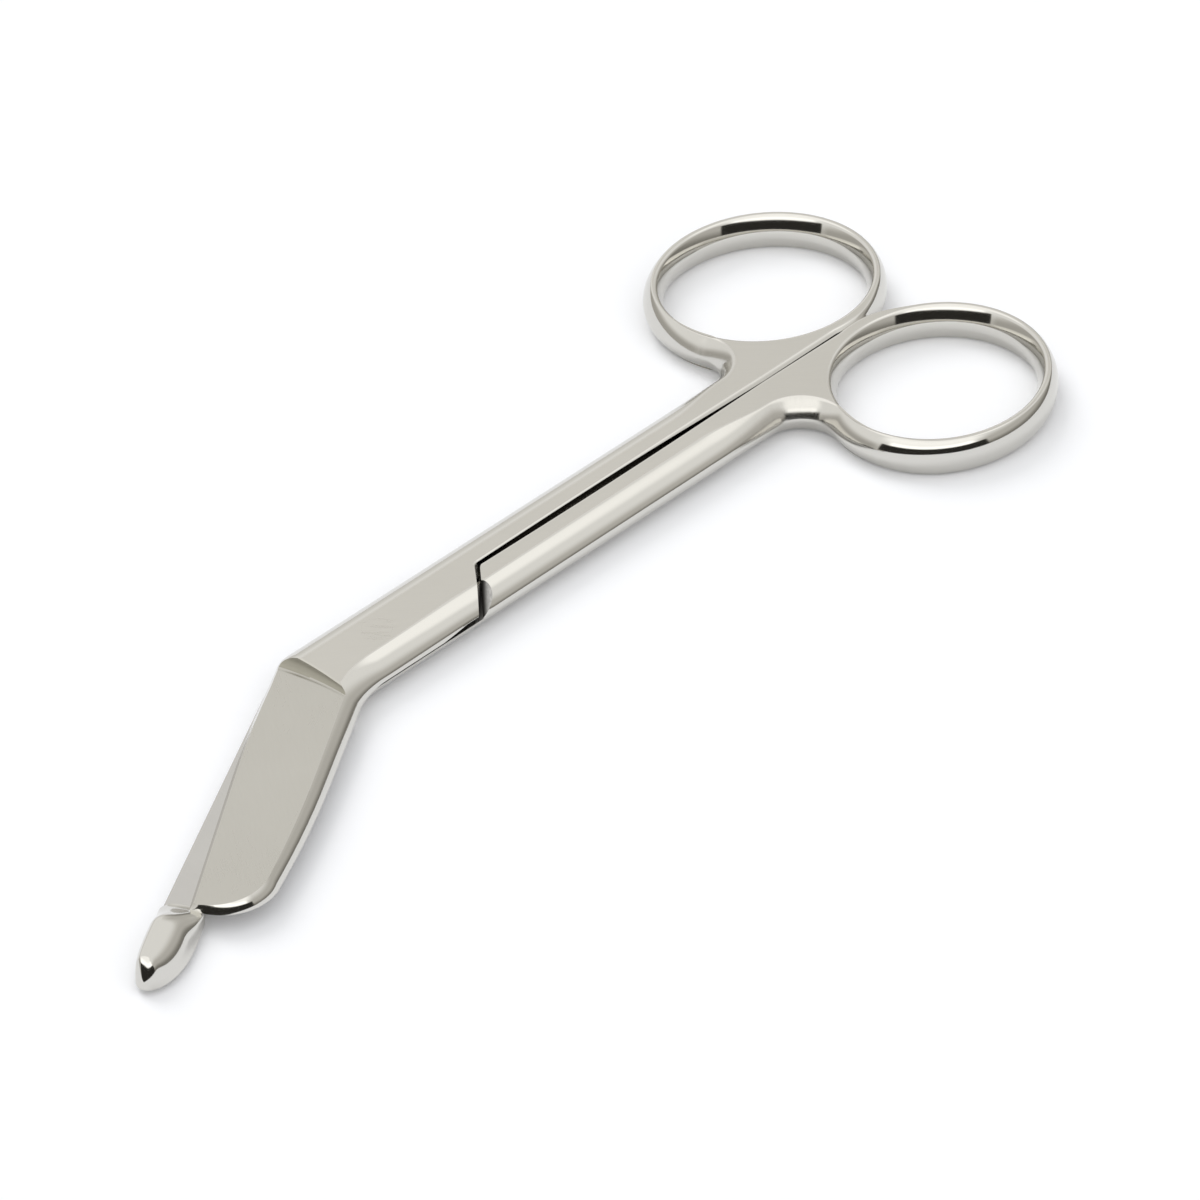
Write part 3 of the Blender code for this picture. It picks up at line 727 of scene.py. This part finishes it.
def probe():
    """The blunt tip: it swells from inside the neck, slopes towards the edge side and has a round nose."""
    nose_start = LONG_BLADE_LENGTH - PROBE_NOSE
    root = NECK_START - PROBE_ROOT
    swell_length = nose_start - root
    middle = (NECK_WIDTH - LONG_BACK_SPREAD) / 2
    neck_half = (NECK_WIDTH + LONG_BACK_SPREAD) / 2 - PROBE_INSET
    nose_turn = math.pi / 2 / (NOSE_STEPS + 0.5)
    stations = [root + swell_length * k / SWELL_STEPS for k in range(SWELL_STEPS + 1)]
    stations += [nose_start + PROBE_NOSE * math.sin(nose_turn * k) for k in range(1, NOSE_STEPS + 1)]

    def grown(start, full, share):
        return start + (full - start) * smooth(share)

    sections = []
    for along in stations:
        swell = (along - root) / swell_length
        nose = max(0.0, (along - nose_start) / PROBE_NOSE)
        close = (1 - nose ** NOSE_FULLNESS) ** (1 / NOSE_FULLNESS)
        low = 1.0 - NOSE_DROP * max(0.0, (nose - NOSE_FRONT) / (1 - NOSE_FRONT)) ** NOSE_ROUNDING
        wide = grown(neck_half, PROBE_WIDTH / 2, swell * WIDTH_PACE) * close
        waist = grown(ROOT_WAIST, PROBE_WAIST, swell * WAIST_PACE)
        above = (grown(LAP_FOOT - ROOT_SINK, PROBE_TOP, swell) - waist) * low
        below = (waist - grown(ROOT_FOOT, PROBE_FOOT, swell * 2)) * close
        lean = PROBE_SLOPE * above * smooth(swell) * close
        centre = blade_point(along, middle - PROBE_LEAN * nose ** NOSE_LEAN_POWER)
        section = []
        for k in range(PROBE_SIDES):
            angle = 2 * math.pi * (k + 0.5) / PROBE_SIDES
            c, s = math.cos(angle), math.sin(angle)
            full = BULB_FULLNESS if s < 0 else EDGE_FULLNESS if c > 0 else BACK_FULLNESS
            full = grown(NECK_FULLNESS, full, swell * 1.5)
            beside, up = abs(c) ** (2 / full), abs(s) ** (2 / full)
            if s < 0:
                across = math.copysign(wide * beside, c)
            elif c > 0:
                across = wide * beside - lean * up
            else:
                across = -(wide - lean) * beside - lean
            plan = centre + BLADE_CROSS * across
            section.append((plan.x, plan.y, waist + (above if s > 0 else -below) * up))
        sections.append(section)
    return swept('probe_form', sections, SIDE)


def remove_folds(bm):
    """Cuts large faces into triangles, and deletes the pairs of faces that lie on each other."""
    large = [face for face in bm.faces if len(face.verts) > 4]
    bmesh.ops.triangulate(bm, faces=large)
    first_of = {}
    folded = []
    for face in bm.faces:
        twin = first_of.setdefault(frozenset(face.verts), face)
        if twin is not face:
            folded += [face, twin]
    bmesh.ops.delete(bm, geom=folded, context='FACES')


def crisp_edges(mesh):
    """Smooth shading, with edges kept sharp where the finish changes or the surface folds."""
    bm = bmesh.new()
    bm.from_mesh(mesh)
    bmesh.ops.remove_doubles(bm, verts=bm.verts, dist=STRAY_SIZE * MM)
    bmesh.ops.dissolve_degenerate(bm, edges=bm.edges, dist=STRAY_SIZE * MM)
    remove_folds(bm)
    for face in bm.faces:
        face.smooth = True
    for edge in bm.edges:
        faces = edge.link_faces
        if len(faces) != 2:
            continue
        folds = faces[0].normal.angle(faces[1].normal, 0.0) > SHARP_ANGLE
        edge.smooth = not folds and faces[0].material_index == faces[1].material_index
    bm.to_mesh(mesh)
    bm.free()


def mark_step(mesh, side):
    """Distance from the step, in millimetres, for the painted shade in its corner; the lap's end wall gets distance 0
    and so is painted dark all over.
    """
    normal = Vector((math.sin(SHOULDER_ANGLE), -math.cos(SHOULDER_ANGLE)))
    foot = step_line(0.0, STEP_GAP / 2)

    def off(point):
        return (Vector((point.x / MM, -side * point.y / MM)) - foot).dot(normal)

    def off_lap(point):
        return (Vector((point.x / MM, side * point.y / MM)) - foot).dot(normal)

    marks = mesh.attributes.new('step', 'FLOAT', 'CORNER')
    for polygon in mesh.polygons:
        # The lap's end wall takes the lap's finish at distance 0: painted shade all over, standing in for the shadow
        # in the gap.
        lap_end = abs(off_lap(polygon.center)) < STEP_GAP and abs(polygon.normal.z) < 0.7
        if polygon.material_index == SIDE and lap_end:
            outward = Vector((normal.x, side * normal.y, 0.0))
            if polygon.normal.dot(outward) > 0.9:
                polygon.material_index = LAP
                for corner in polygon.loop_indices:
                    marks.data[corner].value = 0.0
                continue
        for corner in polygon.loop_indices:
            point = mesh.vertices[mesh.loops[corner].vertex_index].co
            value = abs(off(point)) if polygon.material_index in (LAP, RELIEF) else CLEAR * 5
            marks.data[corner].value = value


def mark_scoop(mesh, side):
    """The hollow scoop gets its own finish; its lip and its foot keep the finish of the ground face."""
    flat = THICKNESS * MM if side > 0 else 0.0
    ground = min((p for p in mesh.polygons if p.material_index == FACE), key=lambda p: -p.area).normal
    for polygon in mesh.polygons:
        if polygon.material_index == FACE and side * polygon.normal.z > 0:
            turn = polygon.normal.angle(ground)
            lip = any(abs(mesh.vertices[v].co.z - flat) < MIDDLE_BAND / 4 * MM for v in polygon.vertices)
            if turn > SCOOP_TURN and polygon.normal.x < ground.x and not lip:
                polygon.material_index = SCOOP


def place(obj):
    """Puts a finished mesh where the pivot is; the object itself stays at the origin."""
    obj.data.transform(Matrix.Translation((PIVOT.x, PIVOT.y, 0.0)))
    crisp_edges(obj.data)


# Finishes


def add(tree, kind, inputs=None, **settings):
    """A node with its settings, and its inputs either set to a value or linked to a socket."""
    node = tree.nodes.new(kind)
    for name, value in settings.items():
        setattr(node, name, value)
    for name, value in (inputs or {}).items():
        socket = node.inputs[name]
        if isinstance(value, bpy.types.NodeSocket):
            tree.links.new(value, socket)
        else:
            socket.default_value = value
    return node


def math_node(tree, operation, *values):
    return add(tree, 'ShaderNodeMath', dict(enumerate(values)), operation=operation).outputs[0]


def group(name, inputs, outputs):
    """An empty node group with named float or vector inputs and outputs."""
    tree = bpy.data.node_groups.new(name, 'ShaderNodeTree')
    for label, kind, value in inputs:
        socket = tree.interface.new_socket(label, in_out='INPUT', socket_type=kind)
        if value is not None:
            socket.default_value = value
    for label, kind in outputs:
        tree.interface.new_socket(label, in_out='OUTPUT', socket_type=kind)
    return tree, tree.nodes.new('NodeGroupInput').outputs, tree.nodes.new('NodeGroupOutput').inputs


FLOAT = 'NodeSocketFloat'
VECTOR = 'NodeSocketVector'


def streaks_group():
    """Fine lines that all run one way: height in millimetres and an even tone from 0 to 1."""
    tree, given, result = group(
        'streaks',
        [('Vector', VECTOR, None), ('Along', FLOAT, 1.0), ('Across', FLOAT, 20.0), ('Turn', FLOAT, 0.0),
         ('Depth', FLOAT, 0.001)],
        [('Height', FLOAT), ('Tone', FLOAT)])
    turn = add(tree, 'ShaderNodeVectorRotate', {'Vector': given['Vector'], 'Angle': given['Turn']},
               rotation_type='Z_AXIS').outputs[0]
    scale = add(tree, 'ShaderNodeCombineXYZ', {'X': given['Along'], 'Y': given['Across'],
                                               'Z': given['Across']}).outputs[0]
    stretched = add(tree, 'ShaderNodeVectorMath', {0: turn, 1: scale}, operation='MULTIPLY').outputs[0]
    noise = add(tree, 'ShaderNodeTexNoise', {'Vector': stretched, 'Scale': 1.0, 'Detail': 3.0,
                                             'Roughness': 0.6}).outputs['Fac']
    tree.links.new(math_node(tree, 'MULTIPLY', noise, given['Depth']), result['Height'])
    tree.links.new(noise, result['Tone'])
    return tree


def waves_group():
    """The slow unevenness of a surface polished by hand, in millimetres of height."""
    tree, given, result = group(
        'hand_polish',
        [('Vector', VECTOR, None), ('Size', FLOAT, 6.0), ('Depth', FLOAT, 0.01)],
        [('Height', FLOAT)])
    scale = math_node(tree, 'DIVIDE', 1000.0, given['Size'])
    noise = add(tree, 'ShaderNodeTexNoise', {'Vector': given['Vector'], 'Scale': scale, 'Detail': 1.0,
                                             'Roughness': 0.4}).outputs['Fac']
    tree.links.new(math_node(tree, 'MULTIPLY', noise, given['Depth']), result['Height'])
    return tree


def scratches_group():
    """Sparse hairline scratches: a mask from 0 to 1."""
    tree, given, result = group(
        'hairlines',
        [('Vector', VECTOR, None), ('Size', FLOAT, 5.0), ('Turn', FLOAT, 0.0), ('Cover', FLOAT, 0.3)],
        [('Mask', FLOAT)])
    turn = add(tree, 'ShaderNodeVectorRotate', {'Vector': given['Vector'], 'Angle': given['Turn']},
               rotation_type='Z_AXIS').outputs[0]
    scale = math_node(tree, 'DIVIDE', 1000.0, given['Size'])
    long_way = add(tree, 'ShaderNodeVectorMath', {0: turn, 1: (1.0, 26.0, 26.0)}, operation='MULTIPLY').outputs[0]
    lines = add(tree, 'ShaderNodeTexNoise', {'Vector': long_way, 'Scale': scale, 'Detail': 2.0,
                                             'Roughness': 0.5}).outputs['Fac']
    sparse = add(tree, 'ShaderNodeTexNoise', {'Vector': turn, 'Scale': scale, 'Detail': 1.0}).outputs['Fac']
    line = add(tree, 'ShaderNodeMapRange', {'Value': lines, 'From Min': 0.68, 'From Max': 0.74},
               clamp=True).outputs[0]
    here = add(tree, 'ShaderNodeMapRange', {'Value': sparse, 'From Min': 0.62, 'From Max': 0.5,
                                            'To Max': given['Cover']}, clamp=True).outputs[0]
    tree.links.new(math_node(tree, 'MULTIPLY', line, here), result['Mask'])
    return tree


STREAKS = streaks_group()
WAVES = waves_group()
HAIRLINES = scratches_group()


def use(tree, used, inputs):
    node = add(tree, 'ShaderNodeGroup', node_tree=used)
    for name, value in inputs.items():
        socket = node.inputs[name]
        if isinstance(value, bpy.types.NodeSocket):
            tree.links.new(value, socket)
        else:
            socket.default_value = value
    return node.outputs


def new_material(name):
    material = bpy.data.materials.new(name)
    material.use_nodes = True
    tree = material.node_tree
    shader = tree.nodes['Principled BSDF']
    shader.inputs['Metallic'].default_value = 1.0
    return material, tree, shader


def between(tree, tone, low, high):
    """A value that goes from low to high with the tone."""
    return add(tree, 'ShaderNodeMapRange', {'Value': tone, 'To Min': low, 'To Max': high}, clamp=True).outputs[0]


def tinted(tree, tone, dark, light):
    """A colour that goes from dark to light with the tone."""
    mix = add(tree, 'ShaderNodeMix', {'Factor': tone}, data_type='RGBA')
    mix.inputs[6].default_value = (*dark, 1.0)
    mix.inputs[7].default_value = (*light, 1.0)
    return mix.outputs[2]


def step_shade_group():
    """Painted shade close to the step, standing in for the shadow in its gap: it takes over the colour and the
    roughness.
    """
    tree, given, result = group(
        'painted_step_shade',
        [('Color', 'NodeSocketColor', None), ('Roughness', FLOAT, 0.3), ('Off', FLOAT, 5.0), ('Near', FLOAT, 0.12),
         ('Far', FLOAT, 0.6)],
        [('Color', 'NodeSocketColor'), ('Roughness', FLOAT)])
    shade_share = add(tree, 'ShaderNodeMapRange', {'Value': given['Off'], 'From Min': given['Near'],
                                            'From Max': given['Far'], 'To Min': 1.0, 'To Max': 0.0},
               interpolation_type='SMOOTHSTEP').outputs[0]
    colour = add(tree, 'ShaderNodeMix', {'Factor': shade_share}, data_type='RGBA')
    tree.links.new(given['Color'], colour.inputs[6])
    colour.inputs[7].default_value = (*PAINTED_SHADE_COLOUR, 1.0)
    rough = add(tree, 'ShaderNodeMix', {'Factor': shade_share}, data_type='FLOAT')
    tree.links.new(given['Roughness'], rough.inputs[2])
    rough.inputs[3].default_value = PAINTED_SHADE_ROUGHNESS
    tree.links.new(colour.outputs[2], result['Color'])
    tree.links.new(rough.outputs[0], result['Roughness'])
    return tree


# Colour and roughness of the painted shade by the step
PAINTED_SHADE_COLOUR = (0.012, 0.011, 0.010)
PAINTED_SHADE_ROUGHNESS = 0.6
PAINTED_SHADE = step_shade_group()


def bump(tree, shader, height):
    """Millimetres of height, as a normal."""
    node = add(tree, 'ShaderNodeBump', {'Height': height, 'Distance': MM, 'Strength': 1.0})
    tree.links.new(node.outputs[0], shader.inputs['Normal'])


def rubbed(tree, place_on):
    """A faint rubbed patch round the pivot: a mask from 0 to 1."""
    off = add(tree, 'ShaderNodeVectorMath', {0: place_on, 1: (PIVOT.x, PIVOT.y, 0.0)},
              operation='SUBTRACT').outputs[0]
    flat = add(tree, 'ShaderNodeVectorMath', {0: off, 1: (1.0, 1.0, 0.0)}, operation='MULTIPLY').outputs[0]
    radius = add(tree, 'ShaderNodeVectorMath', {0: flat}, operation='LENGTH').outputs['Value']
    near = add(tree, 'ShaderNodeMapRange', {'Value': radius, 'From Min': 0.0028, 'From Max': 0.0012},
               interpolation_type='SMOOTHSTEP').outputs[0]
    lines = use(tree, STREAKS, {'Vector': place_on, 'Along': 260.0, 'Across': 2300.0, 'Turn': 0.9, 'Depth': 1.0})
    line = add(tree, 'ShaderNodeMapRange', {'Value': lines['Tone'], 'From Min': 0.52, 'From Max': 0.66}).outputs[0]
    return math_node(tree, 'MULTIPLY', near, line)


def satin(name, dark, light, rough, turn, depth=0.0003, pivot=False, step=None):
    """Satin steel: a fine grain that runs one way, and a few hairlines."""
    material, tree, shader = new_material(name)
    place_on = add(tree, 'ShaderNodeTexCoord').outputs['Object']
    grain = use(tree, STREAKS, {'Vector': place_on, 'Along': 380.0, 'Across': 3800.0, 'Turn': turn,
                                'Depth': depth})
    cloud = use(tree, WAVES, {'Vector': place_on, 'Size': 9.0, 'Depth': 1.0})['Height']
    hair = use(tree, HAIRLINES, {'Vector': place_on, 'Size': 4.0, 'Turn': turn + 0.5, 'Cover': 0.15})['Mask']
    tone = math_node(tree, 'ADD', math_node(tree, 'MULTIPLY', grain['Tone'], 0.45),
                     math_node(tree, 'MULTIPLY', cloud, 0.55))
    if pivot:
        tone = math_node(tree, 'SUBTRACT', tone, math_node(tree, 'MULTIPLY', rubbed(tree, place_on), 0.9))
    colour = tinted(tree, tone, dark, light)
    roughness = math_node(tree, 'ADD', between(tree, tone, rough[0], rough[1]),
                          math_node(tree, 'MULTIPLY', hair, -0.06))
    # Given step (near, far), the colour darkens towards the step: painted shade in its corner.
    if step:
        off = add(tree, 'ShaderNodeAttribute', attribute_name='step').outputs['Fac']
        colour, roughness = use(tree, PAINTED_SHADE, {'Color': colour, 'Roughness': roughness, 'Off': off,
                                                'Near': step[0], 'Far': step[1]}).values()
    tree.links.new(colour, shader.inputs['Base Color'])
    tree.links.new(roughness, shader.inputs['Roughness'])
    bump(tree, shader, grain['Height'])
    return material


def polished(name):
    """Mirror-polished steel: slow waves, fine marks across the side, heavier ones in the junction."""
    material, tree, shader = new_material(name)
    coordinates = add(tree, 'ShaderNodeTexCoord')
    place_on = coordinates.outputs['Object']
    run = add(tree, 'ShaderNodeUVMap', uv_map='run').outputs[0]
    spot = (FILLET_CENTRE.x * MM + PIVOT.x, (FILLET_CENTRE.y - JUNCTION_RADIUS) * MM, THICKNESS * MM)
    beside = add(tree, 'ShaderNodeVectorMath', {0: place_on}, operation='ABSOLUTE').outputs[0]
    away = add(tree, 'ShaderNodeVectorMath', {0: beside, 1: spot}, operation='DISTANCE').outputs['Value']
    worked = add(tree, 'ShaderNodeMapRange', {'Value': away, 'From Min': 0.0105, 'From Max': 0.002},
                 interpolation_type='SMOOTHSTEP').outputs[0]
    marks = use(tree, STREAKS, {'Vector': run, 'Along': 7.0, 'Across': 0.9, 'Depth': 1.0})
    waves = use(tree, WAVES, {'Vector': place_on, 'Size': 6.0, 'Depth': 0.014})['Height']
    hair = use(tree, HAIRLINES, {'Vector': place_on, 'Size': 6.0, 'Turn': 0.9, 'Cover': 0.4})['Mask']
    cut = math_node(tree, 'MULTIPLY', marks['Height'], between(tree, worked, 0.00012, 0.005))
    tone = math_node(tree, 'MULTIPLY', marks['Tone'], worked)
    tree.links.new(tinted(tree, tone, (0.64, 0.627, 0.59), (0.58, 0.565, 0.53)), shader.inputs['Base Color'])
    base = between(tree, worked, 0.075, 0.17)
    roughness = math_node(tree, 'ADD', base, math_node(tree, 'MULTIPLY', hair, 0.12))
    tree.links.new(roughness, shader.inputs['Roughness'])
    bump(tree, shader, math_node(tree, 'ADD', waves, cut))
    return material


def pivot_steel():
    """Turned steel for the screw: fine rings about its axis."""
    material, tree, shader = new_material('turned_screw_steel')
    place_on = add(tree, 'ShaderNodeTexCoord').outputs['Object']
    off = add(tree, 'ShaderNodeVectorMath', {0: place_on, 1: (PIVOT.x, PIVOT.y, 0.0)},
              operation='SUBTRACT').outputs[0]
    flat = add(tree, 'ShaderNodeVectorMath', {0: off, 1: (1.0, 1.0, 0.0)}, operation='MULTIPLY').outputs[0]
    radius = add(tree, 'ShaderNodeVectorMath', {0: flat}, operation='LENGTH').outputs['Value']
    rings = add(tree, 'ShaderNodeTexNoise', {'W': math_node(tree, 'MULTIPLY', radius, 14000.0), 'Scale': 1.0,
                                             'Detail': 2.0}, noise_dimensions='1D').outputs['Fac']
    tree.links.new(tinted(tree, rings, (0.55, 0.54, 0.52), (0.60, 0.585, 0.56)), shader.inputs['Base Color'])
    tree.links.new(between(tree, rings, 0.22, 0.32), shader.inputs['Roughness'])
    bump(tree, shader, math_node(tree, 'MULTIPLY', rings, 0.001))
    return material


# Studio


CAMERA_PLACE = Vector((-0.4210, -0.4140, 0.4654))
CAMERA_TARGET = Vector((0.00616, -0.00964, 0.0))
CAMERA_LENS = 216.0
SENSOR = 36.0


def camera():
    data = bpy.data.cameras.new('camera')
    data.lens = CAMERA_LENS
    data.sensor_width = SENSOR
    data.clip_end = 20.0
    obj = bpy.data.objects.new('camera', data)
    obj.location = CAMERA_PLACE
    obj.rotation_euler = (CAMERA_TARGET - CAMERA_PLACE).to_track_quat('-Z', 'Y').to_euler()
    bpy.context.scene.collection.objects.link(obj)
    bpy.context.scene.camera = obj


def card_group():
    """One soft-edged card of the studio: inside it the level replaces what was there."""
    names = ('Turn', 'Rise', 'Before', 'Left', 'Right', 'Low', 'High', 'Soft', 'Level')
    tree, given, result = group('studio_card', [(name, FLOAT, 0.0) for name in names], [('After', FLOAT)])

    def edge(value, start, sign):
        inside = math_node(tree, 'MULTIPLY', math_node(tree, 'SUBTRACT', value, start), sign)
        half = math_node(tree, 'MULTIPLY', given['Soft'], 0.5)
        return add(tree, 'ShaderNodeMapRange', {'Value': inside, 'From Min': math_node(tree, 'MULTIPLY', half, -1.0),
                                                'From Max': half}, interpolation_type='SMOOTHSTEP').outputs[0]

    mask = math_node(tree, 'MULTIPLY', edge(given['Turn'], given['Left'], 1.0),
                     edge(given['Turn'], given['Right'], -1.0))
    mask = math_node(tree, 'MULTIPLY', mask, edge(given['Rise'], given['Low'], 1.0))
    mask = math_node(tree, 'MULTIPLY', mask, edge(given['Rise'], given['High'], -1.0))
    mixed = add(tree, 'ShaderNodeMix', {'Factor': mask}, data_type='FLOAT')
    tree.links.new(given['Before'], mixed.inputs[2])
    tree.links.new(given['Level'], mixed.inputs[3])
    tree.links.new(mixed.outputs[0], result['After'])
    return tree


# Turn is degrees from the camera's side, positive to its right; rise is degrees above the table.
# Each card: left, right, low, high, softness, level
ROUND = 400.0
CARDS = [
    (-ROUND, ROUND, 52.0, 120.0, 6.0, 1.36),
    (-ROUND, ROUND, -90.0, 12.0, 20.0, 0.78),
    (-140.0, -50.0, -90.0, 15.0, 16.0, 0.5),
    (50.0, 178.0, -90.0, 31.0, 22.0, 0.62),
    (50.0, 178.0, -90.0, 9.0, 14.0, 0.24),
    (-50.0, 56.0, 31.0, 58.0, 18.0, 1.45),
    (-40.0, 46.0, 20.0, 32.0, 8.0, 1.75),
    (-48.0, 55.0, -90.0, 21.0, 2.0, 0.03),
]
WORLD_LEVEL = 1.02
OLIVE = (1.0, 0.95, 0.84)
WARM_WHITE = (1.0, 0.995, 0.978)
AMBIENT = 0.46
# Each lamp: turn, rise, softness in degrees, share of the light on the table
LAMPS = {'key_light': (-140.0, 46.0, 36.0, 0.22), 'fill_light': (15.0, 68.0, 90.0, 0.35)}
FLOOR_COLOUR = (0.955, 0.957, 0.965)
FLOOR_LIFT = 0.05


def studio():
    """White to the camera; cards to the metal; a plain even level for everything else."""
    world = bpy.data.worlds.new('studio')
    bpy.context.scene.world = world
    world.use_nodes = True
    tree = world.node_tree
    tree.nodes.clear()
    direction = add(tree, 'ShaderNodeTexCoord').outputs['Generated']
    toward = (CAMERA_PLACE - CAMERA_TARGET)
    toward = Vector((toward.x, toward.y, 0.0)).normalized()
    right = Vector((-toward.y, toward.x, 0.0))
    ahead = add(tree, 'ShaderNodeVectorMath', {0: direction, 1: toward}, operation='DOT_PRODUCT').outputs['Value']
    beside = add(tree, 'ShaderNodeVectorMath', {0: direction, 1: right}, operation='DOT_PRODUCT').outputs['Value']
    turn = math_node(tree, 'DEGREES', math_node(tree, 'ARCTAN2', beside, ahead))
    height = add(tree, 'ShaderNodeSeparateXYZ', {0: direction}).outputs['Z']
    rise = math_node(tree, 'DEGREES', math_node(tree, 'ARCSINE', height))
    cards = card_group()
    level = WORLD_LEVEL
    for left, right_edge, low, high, soft, value in CARDS:
        level = use(tree, cards, {'Turn': turn, 'Rise': rise, 'Before': level, 'Left': left, 'Right': right_edge,
                                  'Low': low, 'High': high, 'Soft': soft, 'Level': value})['After']
    seen = add(tree, 'ShaderNodeBackground', {'Color': (1.0, 1.0, 1.0, 1.0), 'Strength': 1.0}).outputs[0]
    room = tinted(tree, math_node(tree, 'MINIMUM', level, 1.0), OLIVE, WARM_WHITE)
    mirrored_in_metal = add(tree, 'ShaderNodeBackground', {'Color': room, 'Strength': level}).outputs[0]
    ambient = add(tree, 'ShaderNodeBackground', {'Color': (0.955, 0.97, 1.0, 1.0), 'Strength': AMBIENT}).outputs[0]
    path = add(tree, 'ShaderNodeLightPath').outputs
    glossy = math_node(tree, 'MAXIMUM', path['Is Glossy Ray'], path['Is Transmission Ray'])
    lit = add(tree, 'ShaderNodeMixShader', {0: glossy, 1: ambient, 2: mirrored_in_metal}).outputs[0]
    both = add(tree, 'ShaderNodeMixShader', {0: path['Is Camera Ray'], 1: lit, 2: seen}).outputs[0]
    output = add(tree, 'ShaderNodeOutputWorld')
    tree.links.new(both, output.inputs['Surface'])


def lamps():
    """A soft key from the back left and a wide fill from the camera's side."""
    toward = CAMERA_PLACE - CAMERA_TARGET
    base = math.atan2(toward.y, toward.x)
    for name, (turn, rise, softness, share) in LAMPS.items():
        data = bpy.data.lights.new(name, 'SUN')
        data.angle = math.radians(softness)
        rise = math.radians(rise)
        data.energy = share * math.pi / math.sin(rise)
        angle = base + math.radians(turn)
        source = Vector((math.cos(angle) * math.cos(rise), math.sin(angle) * math.cos(rise), math.sin(rise)))
        obj = bpy.data.objects.new(name, data)
        obj.rotation_euler = (-source).to_track_quat('-Z', 'Y').to_euler()
        obj.visible_glossy = False
        bpy.context.scene.collection.objects.link(obj)


def floor():
    """A plain pale table top."""
    half = 12.0
    below = -0.00004
    bm = bmesh.new()
    corners = [bm.verts.new((x * half, y * half, below)) for x, y in ((-1, -1), (1, -1), (1, 1), (-1, 1))]
    bm.faces.new(corners)
    mesh = bpy.data.meshes.new('table_top')
    bm.to_mesh(mesh)
    bm.free()
    obj = bpy.data.objects.new('table_top', mesh)
    bpy.context.scene.collection.objects.link(obj)
    material = bpy.data.materials.new('table_white')
    material.use_nodes = True
    tree = material.node_tree
    shader = tree.nodes['Principled BSDF']
    shader.inputs['Base Color'].default_value = (*FLOOR_COLOUR, 1.0)
    shader.inputs['Roughness'].default_value = 1.0
    shader.inputs['Specular IOR Level'].default_value = 0.0
    shader.inputs['Emission Color'].default_value = (1.0, 1.0, 1.0, 1.0)
    path = add(tree, 'ShaderNodeLightPath').outputs
    lift = math_node(tree, 'MAXIMUM', path['Is Camera Ray'],
                     math_node(tree, 'MAXIMUM', path['Is Glossy Ray'], path['Is Transmission Ray']))
    tree.links.new(math_node(tree, 'MULTIPLY', lift, FLOOR_LIFT), shader.inputs['Emission Strength'])
    mesh.materials.append(material)


def build():
    handle = handle_path(SEAM_HANDLE_SIDE)
    plain_handle = handle_path(SEAM_SIDE)
    hole = hole_path()
    upper = plate('upper_half_finished', divided(handle + short_blade_path() + lap_end_path()), hole)
    outline = mirrored(lap_end_path()) + long_blade_path() + mirrored(plain_handle)
    lower = plate('lower_half_finished', divided(outline), mirrored(hole))
    tip = probe()
    screw_hole = turned('screw_hole', screw_profile(SCREW_GAP), LAP)
    screw = turned('pivot_screw_finished', screw_profile(0.0), 0)
    reach = SCREW_HEAD_RADIUS + CLEAR
    corners = [(reach * a, SLOT_WIDTH / 2 * b) for a, b in ((-1, -1), (1, -1), (1, 1), (-1, 1))]
    slot = swept('slot_cutter', [[(x, y, z) for x, y in corners] for z in (-CLEAR, SCREW_RECESS + SLOT_DEPTH)], 0)

    flat_steel = satin('satin_flat_steel', (0.545, 0.528, 0.485), (0.61, 0.592, 0.55), (0.26, 0.36), 0.75,
                       pivot=True)
    finishes = [
        flat_steel,
        polished('polished_side_steel'),
        # The milled lap and the ground relief carry painted shade by the step, step=(near, far).
        satin('milled_lap_steel', (0.50, 0.49, 0.47), (0.58, 0.565, 0.54), (0.20, 0.30), 1.6, 0.001, step=(0.12, 0.6)),
        satin('ground_blade_steel', (0.485, 0.47, 0.428), (0.55, 0.535, 0.493), (0.24, 0.32), 2.2),
        satin('ground_relief_steel', (0.06, 0.06, 0.058), (0.68, 0.67, 0.65), (0.14, 0.24), 2.4, 0.003, step=(0.3, 1.1)),
        satin('hollow_ground_steel', (0.30, 0.285, 0.235), (0.38, 0.365, 0.31), (0.26, 0.34), 1.05),
    ]
    used = [tip, screw_hole, slot]
    for half, side, name, body, record_slot in ((upper, 1.0, 'upper', 'upper', 'upper_steel'),
                                                (lower, -1.0, 'lower', 'lower', 'lower_steel')):
        for material in finishes:
            half.data.materials.append(material)
        cutters = [lap_cutter(name + '_lap', side), relief_cutter(name + '_relief', side),
                   face_cutter(name + '_face', side), ease_cutter(name + '_ease', side)]
        used += cutters
        tools = [(tool, 'DIFFERENCE') for tool in cutters + [screw_hole]]
        if side < 0:
            tools.append((tip, 'UNION'))
        combine(half, tools)
        mark_step(half.data, side)
        mark_scoop(half.data, side)
        place(half)
        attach(half, body)
        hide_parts(name + '_half')
    combine(screw, [(slot, 'DIFFERENCE')])
    screw.data.materials.clear()
    screw.data.materials.append(pivot_steel())
    screw.data.materials.append(flat_steel)
    for polygon in screw.data.polygons:
        if polygon.normal.z > 0.9 and polygon.center.z > LAP_PLANE * MM:
            polygon.material_index = 1
    place(screw)
    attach(screw, 'upper')
    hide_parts('pivot_screw')
    remove_tools(used)


camera()
build()
floor()
lamps()
studio()
bpy.context.scene.view_settings.view_transform = 'Standard'
